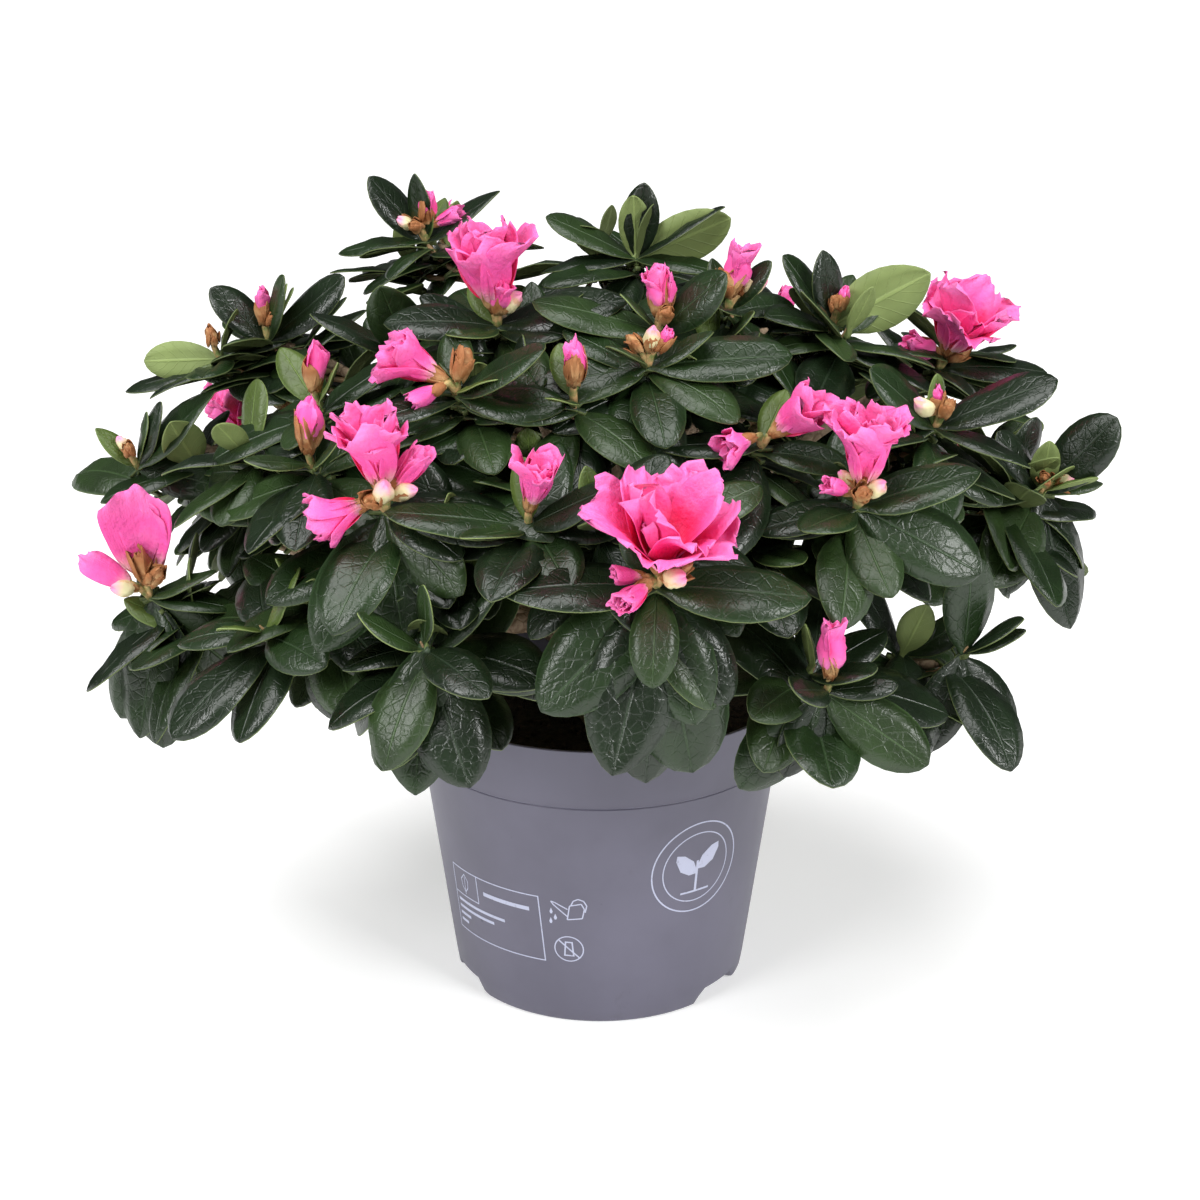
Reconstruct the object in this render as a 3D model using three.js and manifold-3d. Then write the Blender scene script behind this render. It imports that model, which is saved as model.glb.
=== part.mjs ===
// Azalea shrub in its nursery pot: a low woody plant with a short forked stem, arching boughs
// and a broad dome of leafy shoots, rooted in peat inside a thin moulded plastic pot.
// Millimetres, +Z up. The origin is the centre of the pot's flat underside, and -Y is the front.
import * as THREE from "three";
import { mergeVertices } from "three/addons/utils/BufferGeometryUtils.js";
import Module from "manifold-3d";

const wasm = await Module();
wasm.setup();

const GAP = 0.4; // clearance kept between pieces that meet
const ROUND_STEPS = 30; // facets round the pot and the root ball

// ---- Driving dimensions ------------------------------------------------------------------

const POT = {
  rimRadius: 65,
  footRadius: 50,
  height: 105,
  wall: 1.4,
  floor: 1.8,
  bandHeight: 21.5, // the rim band, measured down from the lip
  bandStep: 0.8, // how far the band stands proud of the wall under it
  bandSlope: 1, // the height over which it comes forward
  edgeRound: 0.7,
};

const DRAIN = {
  count: 3,
  firstBearing: 54,
  height: 5,
  footWidth: 24, // the pocket's width where it meets the ground
  roofWidth: 15,
  depth: 13, // how far it reaches in from the foot's edge
  overrun: 6, // how far its cutter runs past the pot's outside
  holeRadius: 2.6,
  holeSides: 12,
};

const SOIL = {
  top: 93,
  flatRadius: 20, // trodden flat round the stem
  lump: 1.6,
  lumpWaveX: 20, // the lumps' wavelengths
  lumpWaveY: 23,
};

const STEM = {
  height: 48, // from the soil to the fork
  footRadius: 14,
  neckRadius: 8.5,
  tipRadius: 5.5,
  lean: 5,
  rootLobes: 5,
  lobeDepth: 0.22, // as a share of the radius
  flareFade: 7, // how fast the root flare dies away up the stem
  sides: 10,
  steps: 6,
};

const BOUGH = {
  startRadius: 4.2,
  endRadius: 1.7,
  lift: 0.35, // share of its climb made in the first third of its reach
  droop: 0.4, // how far under its mass's middle it comes in, as a share of the mass's height
  leastClimb: 12,
  sides: 6,
  steps: 5,
};

// The boughs leave the stem at these heights above the soil, one storey over another.
const STOREYS = [13, 22, 31, 40];

// Each mass is lobed by its leaves: the lobes round it, their depth as a share of its size, and the
// share by which it also swells and shrinks from foot to top. turn and tip are the angles, in
// radians, by which the lobes move round and up from one mass to the next.
const LOBES = { count: 5, depth: 0.15, lift: 0.09, turn: 2.1, tip: 1.3 };

const LEAVES = "#2f4a2c";
const BARK = "#7a5f43";

// Masses of foliage, each the leaves round one or two shoot tips. The bearing is in degrees round
// the stem from the front, positive to the right; reach is out from the stem and height is above
// the ground, both to the mass's middle. deep, wide and tall are its half sizes outwards, sideways
// and upwards. storey is where on the stem its bough starts; a mass with none has no main bough.
const MASSES = [
  // the skirt, whose leaves hang over and beside the pot
  { name: "front_low", bearing: 3, reach: 132, height: 172, deep: 30, wide: 34, tall: 48, storey: 1 },
  { name: "front_left_low", bearing: -22, reach: 126, height: 152, deep: 26, wide: 23, tall: 37, storey: 0 },
  { name: "left_front_low", bearing: -48, reach: 120, height: 152, deep: 30, wide: 27, tall: 28, storey: 2 },
  { name: "left_low", bearing: -79, reach: 146, height: 138, deep: 24, wide: 30, tall: 46, storey: 0 },
  { name: "left_back_low", bearing: -106, reach: 136, height: 146, deep: 30, wide: 38, tall: 34, storey: 1 },
  { name: "back_left_low", bearing: -137, reach: 132, height: 142, deep: 32, wide: 40, tall: 36, storey: 0 },
  { name: "back_low", bearing: -170, reach: 132, height: 146, deep: 32, wide: 42, tall: 38, storey: 1 },
  { name: "back_right_low", bearing: 157, reach: 132, height: 140, deep: 32, wide: 42, tall: 36, storey: 0 },
  { name: "right_back_low", bearing: 121, reach: 136, height: 146, deep: 32, wide: 42, tall: 36, storey: 2 },
  { name: "right_low", bearing: 86, reach: 143, height: 166, deep: 26, wide: 32, tall: 40, storey: 0 },
  { name: "right_front_low", bearing: 51, reach: 136, height: 143, deep: 28, wide: 22, tall: 34, storey: 1 },
  { name: "front_right_low", bearing: 27, reach: 136, height: 148, deep: 26, wide: 26, tall: 27, storey: 0 },
  // the shoulder
  { name: "front_left", bearing: -31, reach: 114, height: 190, deep: 30, wide: 31, tall: 36, storey: 3 },
  { name: "left_front", bearing: -58, reach: 114, height: 202, deep: 26, wide: 28, tall: 26 },
  { name: "left", bearing: -86, reach: 142, height: 190, deep: 22, wide: 28, tall: 20, storey: 3 },
  { name: "left_back", bearing: -118, reach: 112, height: 190, deep: 34, wide: 40, tall: 30 },
  { name: "back_left", bearing: -150, reach: 112, height: 194, deep: 36, wide: 42, tall: 34, storey: 3 },
  { name: "back_right", bearing: 172, reach: 112, height: 190, deep: 36, wide: 42, tall: 34 },
  { name: "right_back", bearing: 138, reach: 112, height: 190, deep: 36, wide: 40, tall: 32, storey: 3 },
  { name: "right_rear", bearing: 100, reach: 121, height: 212, deep: 33, wide: 32, tall: 29 },
  { name: "right", bearing: 66, reach: 112, height: 202, deep: 34, wide: 30, tall: 25, storey: 2 },
  { name: "front_right", bearing: 37, reach: 120, height: 192, deep: 32, wide: 35, tall: 34, storey: 3 },
  { name: "front", bearing: -7, reach: 96, height: 206, deep: 26, wide: 29, tall: 30, storey: 2 },
  // the crown
  { name: "crown_left_front", bearing: -27, reach: 84, height: 222, deep: 26, wide: 28, tall: 22 },
  { name: "crown_front_left", bearing: -36, reach: 54, height: 242, deep: 27, wide: 28, tall: 23 },
  { name: "crown_front", bearing: 15, reach: 68, height: 234, deep: 30, wide: 32, tall: 26 },
  { name: "crown_left", bearing: -97, reach: 112, height: 219, deep: 31, wide: 28, tall: 18 },
  { name: "crown_middle_left", bearing: -72, reach: 66, height: 222, deep: 26, wide: 26, tall: 22 },
  { name: "crown_left_back", bearing: -117, reach: 63, height: 248, deep: 26, wide: 28, tall: 22 },
  { name: "crown_top", bearing: 126, reach: 12, height: 250, deep: 32, wide: 35, tall: 24 },
  { name: "crown_right_front", bearing: 48, reach: 64, height: 234, deep: 26, wide: 27, tall: 24 },
  { name: "crown_right", bearing: 76, reach: 79, height: 234, deep: 30, wide: 29, tall: 24 },
  { name: "crown_right_back", bearing: 134, reach: 68, height: 210, deep: 34, wide: 36, tall: 26 },
  { name: "crown_back", bearing: -178, reach: 66, height: 216, deep: 36, wide: 40, tall: 28 },
];

// ---- Solids ------------------------------------------------------------------------------

// A closed three.js geometry as a manifold-3d solid, for joins and cuts.
function solidOf(geometry) {
  const bare = geometry.index ? geometry.toNonIndexed() : geometry.clone();
  bare.deleteAttribute("normal");
  bare.deleteAttribute("uv");
  const merged = mergeVertices(bare, 1e-4);
  return new wasm.Manifold(
    new wasm.Mesh({
      numProp: 3,
      vertProperties: new Float32Array(merged.attributes.position.array),
      triVerts: new Uint32Array(merged.index.array),
    }),
  );
}

function geometryOf(solid) {
  const { numProp, vertProperties, triVerts } = solid.getMesh();
  const places = [];
  for (let i = 0; i < vertProperties.length; i += numProp)
    places.push(vertProperties[i], vertProperties[i + 1], vertProperties[i + 2]);
  const geometry = new THREE.BufferGeometry();
  geometry.setAttribute("position", new THREE.Float32BufferAttribute(places, 3));
  geometry.setIndex([...triVerts]);
  geometry.computeVertexNormals();
  return geometry;
}

// The largest of the pieces that a cut leaves.
function largestOf(solid) {
  const pieces = solid.decompose();
  return pieces.reduce((best, next) => (next.volume() > best.volume() ? next : best));
}

// A profile of [radius, height] points turned round the Z axis.
function turned(profile) {
  const points = profile.map(([radius, height]) => new THREE.Vector2(radius, height));
  return new THREE.LatheGeometry(points, ROUND_STEPS).rotateX(Math.PI / 2);
}

function moveVertices(geometry, move) {
  const places = geometry.attributes.position;
  const point = new THREE.Vector3();
  for (let i = 0; i < places.count; i++) {
    move(point.fromBufferAttribute(places, i));
    places.setXYZ(i, point.x, point.y, point.z);
  }
  return geometry;
}

// The horizontal direction of a bearing: 0 is the front, -Y, and 90 is the right, +X.
function outwards(bearing) {
  const turn = THREE.MathUtils.degToRad(bearing);
  return new THREE.Vector3(Math.sin(turn), -Math.cos(turn), 0);
}

// A round limb along a curve: radiusAt(along, round) gives its radius at a share of its length
// and an angle round it. It is a closed cylinder bent onto the curve.
function limb(curve, sides, steps, radiusAt) {
  const { normals, binormals } = curve.computeFrenetFrames(steps);
  const cylinder = new THREE.CylinderGeometry(1, 1, steps, sides, steps);
  return moveVertices(cylinder, (point) => {
    const step = Math.round(point.y + steps / 2);
    const round = Math.atan2(point.z, point.x);
    const across = Math.hypot(point.x, point.z) * radiusAt(step / steps, round);
    const centre = curve.getPoint(step / steps);
    point
      .copy(centre)
      .addScaledVector(normals[step], Math.cos(round) * across)
      .addScaledVector(binormals[step], -Math.sin(round) * across);
  });
}

// ---- Pot and root ball -------------------------------------------------------------------

// The wall's outer radius at a height: an even taper from foot to rim, with the band standing proud.
function wallRadius(height) {
  const slope = (POT.rimRadius - POT.bandStep - POT.footRadius) / POT.height;
  const proud = height > POT.height - POT.bandHeight ? POT.bandStep : 0;
  return POT.footRadius + slope * height + proud;
}

// A profile down the inside of the wall, a given clearance in from the outer face.
function insideProfile(clearance, bottom, top) {
  const bandFoot = POT.height - POT.bandHeight;
  return [
    [0, bottom],
    [wallRadius(bottom) - clearance, bottom],
    [wallRadius(bandFoot) - clearance, bandFoot],
    [wallRadius(bandFoot + POT.bandSlope) - clearance, bandFoot + POT.bandSlope],
    [wallRadius(top) - clearance, top],
    [0, top],
  ];
}

function potShell() {
  const { footRadius, height, wall, floor, bandSlope, edgeRound } = POT;
  const bandFoot = height - POT.bandHeight;
  const rim = wallRadius(height);
  const inner = insideProfile(wall, floor, height - edgeRound).slice(1, -1).reverse();
  return turned([
    [0, 0],
    [footRadius - 1.5 * edgeRound, 0],
    [footRadius, 1.5 * edgeRound],
    [wallRadius(bandFoot), bandFoot],
    [wallRadius(bandFoot + bandSlope), bandFoot + bandSlope],
    [rim, height - edgeRound],
    [rim - edgeRound / 2, height],
    [rim - wall + edgeRound / 2, height],
    ...inner,
    [0, floor],
  ]);
}

// A drain pocket under the pot's edge, as a wedge with sloping sides, grown by a margin.
function drainPocket(bearing, margin) {
  const { footWidth, roofWidth, height, depth, overrun } = DRAIN;
  const foot = footWidth / 2 + margin;
  const roof = roofWidth / 2 + margin;
  const outline = new THREE.Shape([
    new THREE.Vector2(-foot, -overrun),
    new THREE.Vector2(foot, -overrun),
    new THREE.Vector2(roof, height + margin),
    new THREE.Vector2(-roof, height + margin),
  ]);
  const length = depth + overrun + margin;
  return new THREE.ExtrudeGeometry(outline, { depth: length, bevelEnabled: false })
    .rotateX(Math.PI / 2)
    .translate(0, -(POT.footRadius - depth - margin), 0)
    .rotateZ(THREE.MathUtils.degToRad(bearing));
}

const drainBearings = Array.from(
  { length: DRAIN.count },
  (_, index) => DRAIN.firstBearing + (360 / DRAIN.count) * index,
);

function potSolid() {
  const { height, depth, holeRadius, holeSides } = DRAIN;
  let pot = solidOf(potShell());
  const hollow = solidOf(turned(insideProfile(POT.wall - GAP, POT.floor - GAP, POT.height / 2)));
  for (const bearing of drainBearings) {
    const roof = solidOf(drainPocket(bearing, POT.wall)).intersect(hollow);
    pot = pot.add(roof).subtract(solidOf(drainPocket(bearing, 0)));
    const hole = new THREE.CylinderGeometry(holeRadius, holeRadius, 4 * height, holeSides)
      .rotateX(Math.PI / 2)
      .translate(0, -(POT.footRadius - depth / 2 - POT.wall), 0)
      .rotateZ(THREE.MathUtils.degToRad(bearing));
    pot = pot.subtract(solidOf(hole));
  }
  return pot;
}

// The peat, flat where the stem stands and crumbled towards the wall.
function soilSolid() {
  const clearance = POT.wall + GAP;
  const profile = insideProfile(clearance, POT.floor + GAP, SOIL.top);
  const edge = wallRadius(SOIL.top) - clearance;
  const rings = [0.25, 0.6, 1].map((share) => [
    THREE.MathUtils.lerp(edge, SOIL.flatRadius, share),
    SOIL.top,
  ]);
  profile.splice(-1, 0, ...rings);
  const peat = moveVertices(turned(profile), (point) => {
    const radius = Math.hypot(point.x, point.y);
    if (point.z < SOIL.top - 0.01 || radius <= SOIL.flatRadius + 0.01) return;
    const waveX = Math.sin((2 * Math.PI * point.x) / SOIL.lumpWaveX + 1);
    const waveY = Math.cos((2 * Math.PI * point.y) / SOIL.lumpWaveY);
    point.z += SOIL.lump * waveX * waveY;
  });
  return drainBearings.reduce(
    (soil, bearing) => soil.subtract(solidOf(drainPocket(bearing, POT.wall + GAP))),
    solidOf(peat),
  );
}

// ---- Foliage masses ----------------------------------------------------------------------

function middleOf({ bearing, reach, height }) {
  return outwards(bearing).multiplyScalar(reach).setZ(height);
}

// How far a mass reaches from its middle in a direction: an uneven ellipsoid with a few lobes, cut
// short by the plane between it and each neighbour, so that no two masses touch.
function massReach(index, direction) {
  const mass = MASSES[index];
  const out = outwards(mass.bearing);
  const side = new THREE.Vector3(-out.y, out.x, 0);
  const [o, s, u] = [direction.dot(out), direction.dot(side), direction.z];
  const even = 1 / Math.hypot(o / mass.deep, s / mass.wide, u / mass.tall);
  const round = Math.atan2(s, o);
  const rise = Math.asin(u);
  const leaves = LOBES.depth * Math.sin(LOBES.count * round + index * LOBES.turn) * Math.cos(rise);
  const shoots = LOBES.lift * Math.sin(LOBES.count * rise + index * LOBES.tip);
  let reach = even * (1 + leaves + shoots);
  const middle = middleOf(mass);
  MASSES.forEach((other, otherIndex) => {
    if (otherIndex === index) return;
    const apart = middleOf(other).sub(middle);
    const distance = apart.length();
    const towards = direction.dot(apart) / distance;
    const share = mass.wide / (mass.wide + other.wide);
    if (towards > 0) reach = Math.min(reach, (distance * share - GAP) / towards);
  });
  return reach;
}

function massGeometry(index, grown = 0) {
  const middle = middleOf(MASSES[index]);
  return moveVertices(new THREE.IcosahedronGeometry(1, 2), (point) => {
    point.normalize();
    point.multiplyScalar(massReach(index, point) + grown).add(middle);
  });
}

// ---- Stem and boughs ---------------------------------------------------------------------

function stemCurve() {
  const foot = SOIL.top + GAP;
  return new THREE.QuadraticBezierCurve3(
    new THREE.Vector3(0, 0, foot),
    new THREE.Vector3(0, 0, foot + STEM.height / 2),
    new THREE.Vector3(STEM.lean, 0, foot + STEM.height),
  );
}

// The stem's radius: it flares into its roots at the foot and tapers evenly to the fork.
function stemRadius(along, round) {
  const flare = Math.exp(-along * STEM.flareFade);
  const lobed = 1 + STEM.lobeDepth * flare * Math.cos(STEM.rootLobes * round);
  const straight = THREE.MathUtils.lerp(STEM.neckRadius, STEM.tipRadius, along);
  return (straight + (STEM.footRadius - STEM.neckRadius) * flare) * lobed;
}

function stemGeometry(grown = 0) {
  const radiusAt = (along, round) => stemRadius(along, round) + grown;
  return moveVertices(limb(stemCurve(), STEM.sides, STEM.steps, radiusAt), (point) => {
    point.z = Math.max(point.z, SOIL.top + GAP); // the flat cut at the soil
  });
}

// A bough rises from its storey on the stem and arches over to the mass that it carries.
function boughCurve(mass) {
  const out = outwards(mass.bearing);
  const rise = STOREYS[mass.storey];
  const start = stemCurve().getPoint(rise / STEM.height);
  const end = middleOf(mass);
  const climb = Math.max(end.z - start.z, BOUGH.leastClimb);
  const third = mass.reach / 3;
  return new THREE.CubicBezierCurve3(
    start,
    start.clone().addScaledVector(out, third).setZ(start.z + climb * BOUGH.lift),
    end.clone().addScaledVector(out, -third).setZ(end.z - mass.tall * BOUGH.droop),
    end,
  );
}

function boughGeometry(mass, grown = 0) {
  const { startRadius, endRadius, sides, steps } = BOUGH;
  const radiusAt = (along) => THREE.MathUtils.lerp(startRadius, endRadius, along) + grown;
  return limb(boughCurve(mass), sides, steps, radiusAt);
}

// ---- Assembly ----------------------------------------------------------------------------

const shrub = new THREE.Group();

function addNode(name, geometry, color, roughness) {
  const material = new THREE.MeshStandardMaterial({ color, roughness, metalness: 0 });
  const mesh = new THREE.Mesh(geometry, material);
  mesh.name = name;
  shrub.add(mesh);
}

addNode("pot", geometryOf(potSolid()), "#85838f", 0.5);
addNode("soil", geometryOf(soilSolid()), "#2a1f1a", 0.95);
addNode("stem", stemGeometry(), BARK, 0.9);

// Each bough is cut clear of the stem, of the boughs before it and of the mass it enters.
let wood = solidOf(stemGeometry(GAP));
MASSES.forEach((mass, index) => {
  if (mass.storey === undefined) return;
  const entered = solidOf(massGeometry(index, GAP));
  const bough = largestOf(solidOf(boughGeometry(mass)).subtract(wood).subtract(entered));
  wood = wood.add(solidOf(boughGeometry(mass, GAP)));
  addNode("bough_" + mass.name, geometryOf(bough), BARK, 0.85);
});

MASSES.forEach((mass, index) => {
  addNode("foliage_" + mass.name, massGeometry(index), LEAVES, 0.45);
});

export default shrub;
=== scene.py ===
import math
import random

import bmesh
import bpy
import numpy as np
from mathutils import Matrix, Vector


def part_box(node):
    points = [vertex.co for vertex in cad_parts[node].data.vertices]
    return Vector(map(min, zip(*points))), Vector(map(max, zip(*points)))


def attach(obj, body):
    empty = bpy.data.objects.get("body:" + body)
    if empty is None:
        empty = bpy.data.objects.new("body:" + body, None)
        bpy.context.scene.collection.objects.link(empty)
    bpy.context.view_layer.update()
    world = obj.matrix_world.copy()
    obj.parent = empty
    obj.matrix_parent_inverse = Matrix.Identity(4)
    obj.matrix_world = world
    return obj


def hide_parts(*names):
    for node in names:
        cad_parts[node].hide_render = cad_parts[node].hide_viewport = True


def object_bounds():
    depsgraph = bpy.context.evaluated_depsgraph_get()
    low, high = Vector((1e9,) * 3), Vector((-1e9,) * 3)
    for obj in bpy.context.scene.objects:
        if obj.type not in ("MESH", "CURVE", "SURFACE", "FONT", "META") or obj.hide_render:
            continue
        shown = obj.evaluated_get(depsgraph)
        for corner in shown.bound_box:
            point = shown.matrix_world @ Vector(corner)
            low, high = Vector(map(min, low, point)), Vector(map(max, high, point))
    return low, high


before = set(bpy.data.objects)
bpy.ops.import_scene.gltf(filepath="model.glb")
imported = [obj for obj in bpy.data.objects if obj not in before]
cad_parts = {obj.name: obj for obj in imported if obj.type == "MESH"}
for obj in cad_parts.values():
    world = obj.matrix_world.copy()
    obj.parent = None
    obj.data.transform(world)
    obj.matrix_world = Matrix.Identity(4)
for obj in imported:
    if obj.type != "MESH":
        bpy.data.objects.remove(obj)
cad_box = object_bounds()

# ---------------------------------------------------------------------------------------------
# The pot: a thin grey-violet polypropylene nursery pot, injection moulded in one piece, with a
# band round the rim for its stiffness and three drain notches under the foot's edge.

MM = 0.001
pot_low, pot_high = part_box("pot")
POT_HEIGHT = pot_high.z
RIM_RADIUS = (pot_high.y - pot_low.y) / 2
FOOT_RADIUS = 50 * MM
POT_WALL = 1.4 * MM
POT_FLOOR = 1.8 * MM
BAND_FOOT = POT_HEIGHT - 21.5 * MM
BAND_STEP = 0.8 * MM
LIP_ROUND = 0.55 * MM
POT_STEPS = 144  # columns round the wall
SAME_SPOT = 0.01 * MM  # points closer than this are one
NOTCH_BEARINGS = (54, 174, 294)
NOTCH_HEIGHT = 5 * MM
NOTCH_INNER = 37 * MM
NOTCH_ROOF_HALF = 8.5  # half widths of a notch, in degrees round the foot
NOTCH_FOOT_HALF = 14
POT_GREY = (0.122, 0.117, 0.162)
POT_SCUFF = (0.075, 0.07, 0.09)


def wall_radius(height):
    """The outside of the wall under the band, an even taper."""
    return FOOT_RADIUS + (RIM_RADIUS - BAND_STEP - FOOT_RADIUS) * height / POT_HEIGHT


def bearing_direction(bearing):
    """The level direction of a bearing: 0 is the front and 90 the right."""
    turn = math.radians(bearing)
    return Vector((math.sin(turn), -math.cos(turn), 0))


def object_of(name, mesh, materials=()):
    """A new object with a mesh, or with what a bmesh holds, and its materials."""
    if isinstance(mesh, bmesh.types.BMesh):
        made = bpy.data.meshes.new(name)
        mesh.to_mesh(made)
        mesh.free()
        mesh = made
    piece = bpy.data.objects.new(name, mesh)
    bpy.context.scene.collection.objects.link(piece)
    for material in materials:
        mesh.materials.append(material)
    return piece


def shade_smooth(piece, sharp=None):
    """Smooth shading, with edges over the sharp angle, in degrees, kept crisp."""
    mesh = piece.data
    mesh.shade_smooth()
    if sharp:
        mesh.set_sharp_from_angle(angle=math.radians(sharp))


class Value:
    """A socket that holds a number, with the arithmetic that adds Math nodes."""

    def __init__(self, finish, socket):
        self.finish, self.socket = finish, socket

    def math(self, operation, *inputs):
        return self.finish.node("ShaderNodeMath", dict(enumerate(inputs)), operation=operation)

    def __add__(self, other):
        return self.math("ADD", self, other)

    def __sub__(self, other):
        return self.math("SUBTRACT", self, other)

    def __rsub__(self, other):
        return self.math("SUBTRACT", other, self)

    def __mul__(self, other):
        return self.math("MULTIPLY", self, other)

    __radd__, __rmul__ = __add__, __mul__

    def __abs__(self):
        return self.math("ABSOLUTE", self)

    def least(self, other):
        return self.math("MINIMUM", self, other)

    def sine(self):
        return self.math("SINE", self)

    def between(self, low, high):
        """0 under low, 1 over high and a smooth rise between them."""
        inputs = {"Value": self, "From Min": low, "From Max": high}
        return self.finish.node("ShaderNodeMapRange", inputs, interpolation_type="SMOOTHSTEP")


class Finish:
    """A material with one Principled shader, to which each method adds a node."""

    def __init__(self, name, **constants):
        self.material = bpy.data.materials.new(name)
        self.material.use_nodes = True
        self.tree = self.material.node_tree
        self.shader = self.tree.nodes["Principled BSDF"]
        for socket, value in constants.items():
            self.shader.inputs[socket.replace("_", " ")].default_value = value

    def node(self, kind, inputs=(), output=0, **settings):
        made = self.tree.nodes.new(kind)
        for setting, value in settings.items():
            setattr(made, setting, value)
        for key, value in dict(inputs).items():
            if isinstance(value, Value):
                self.tree.links.new(value.socket, made.inputs[key])
            elif isinstance(value, tuple) and made.inputs[key].type == "RGBA":
                made.inputs[key].default_value = (*value, 1)
            else:
                made.inputs[key].default_value = value
        return Value(self, made.outputs[output])

    def place(self):
        return self.node("ShaderNodeTexCoord", output="Object")

    def chart(self):
        """The piece's own chart, with how far along it and how far across it a spot lies."""
        chart = self.node("ShaderNodeUVMap", uv_map="blade")
        along = self.node("ShaderNodeSeparateXYZ", {0: chart})
        return chart, along, Value(self, along.socket.node.outputs[1])

    def noise(self, place, scale, detail=3.0, roughness=0.55):
        inputs = {"Vector": place, "Scale": scale, "Detail": detail, "Roughness": roughness}
        return self.node("ShaderNodeTexNoise", inputs)

    def stretched(self, place, scale):
        return self.node("ShaderNodeMapping", {"Vector": place, "Scale": scale})

    def cells(self, place, scale, feature="DISTANCE_TO_EDGE"):
        return self.node("ShaderNodeTexVoronoi", {"Vector": place, "Scale": scale}, feature=feature)

    def mix(self, share, first, second):
        """A colour between two; 6 and 7 are Mix's colour inputs and 2 is its colour output."""
        inputs = {0: share, 6: first, 7: second}
        return self.node("ShaderNodeMix", inputs, 2, data_type="RGBA")

    def clouded(self, cloud, colour, dark, light):
        """A colour that drifts between a darker and a lighter share of itself."""
        tones = [tuple(part * share for part in colour) for share in (dark, light)]
        return self.mix(cloud.between(0.3, 0.7), *tones)

    def bump(self, height, strength, distance):
        inputs = {"Height": height, "Strength": strength, "Distance": distance}
        return self.node("ShaderNodeBump", inputs)

    def feed(self, **sockets):
        """Links what changes over the surface to the shader."""
        for socket, value in sockets.items():
            self.tree.links.new(value.socket, self.shader.inputs[socket.replace("_", " ")])
        return self.material


def pot_plastic():
    finish = Finish("pot_plastic", Specular_IOR_Level=0.45)
    place = finish.place()
    cloud = finish.noise(place, 22, detail=4)
    streaks = finish.noise(finish.stretched(place, (1, 1, 0.12)), 160, detail=2)
    scuffs = finish.noise(place, 75, detail=6, roughness=0.7)
    specks = finish.cells(place, 105.0, "F1")
    rub = scuffs.between(0.60, 0.72) * finish.noise(place, 14).between(0.50, 0.64)
    speck = (1 - specks.between(0.03, 0.09)) * finish.noise(place, 30).between(0.51, 0.57)
    dark = (rub * 0.35 + speck * 0.8).least(1.0)
    grain = finish.noise(place, 900, detail=2)
    return finish.feed(
        Base_Color=finish.mix(dark, finish.clouded(cloud, POT_GREY, 0.86, 1.05), POT_SCUFF),
        Roughness=0.4 + 0.08 * cloud + 0.05 * streaks + 0.12 * dark,
        Normal=finish.bump(grain * 0.4 + streaks * 0.6, 0.12, 0.0002),
    )


def notch_share(point):
    """1 over a notch's flat roof, falling to 0 down its sloping ends."""
    bearing = math.degrees(math.atan2(point.x, -point.y))
    off = min(abs((bearing - notch + 180) % 360 - 180) for notch in NOTCH_BEARINGS)
    return max(0.0, min(1.0, (NOTCH_FOOT_HALF - off) / (NOTCH_FOOT_HALF - NOTCH_ROOF_HALF)))


def turned(outline, steps):
    """A round shape spun from the radii and heights of its outline."""
    bm = bmesh.new()
    points = [bm.verts.new((0, -radius, height)) for radius, height in outline]
    edges = [bm.edges.new(pair) for pair in zip(points, points[1:])]
    bmesh.ops.spin(
        bm, geom=points + edges, cent=(0, 0, 0), axis=(0, 0, 1), angle=2 * math.pi,
        steps=steps, use_merge=True,
    )
    bmesh.ops.remove_doubles(bm, verts=bm.verts, dist=SAME_SPOT)
    return bm


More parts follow.
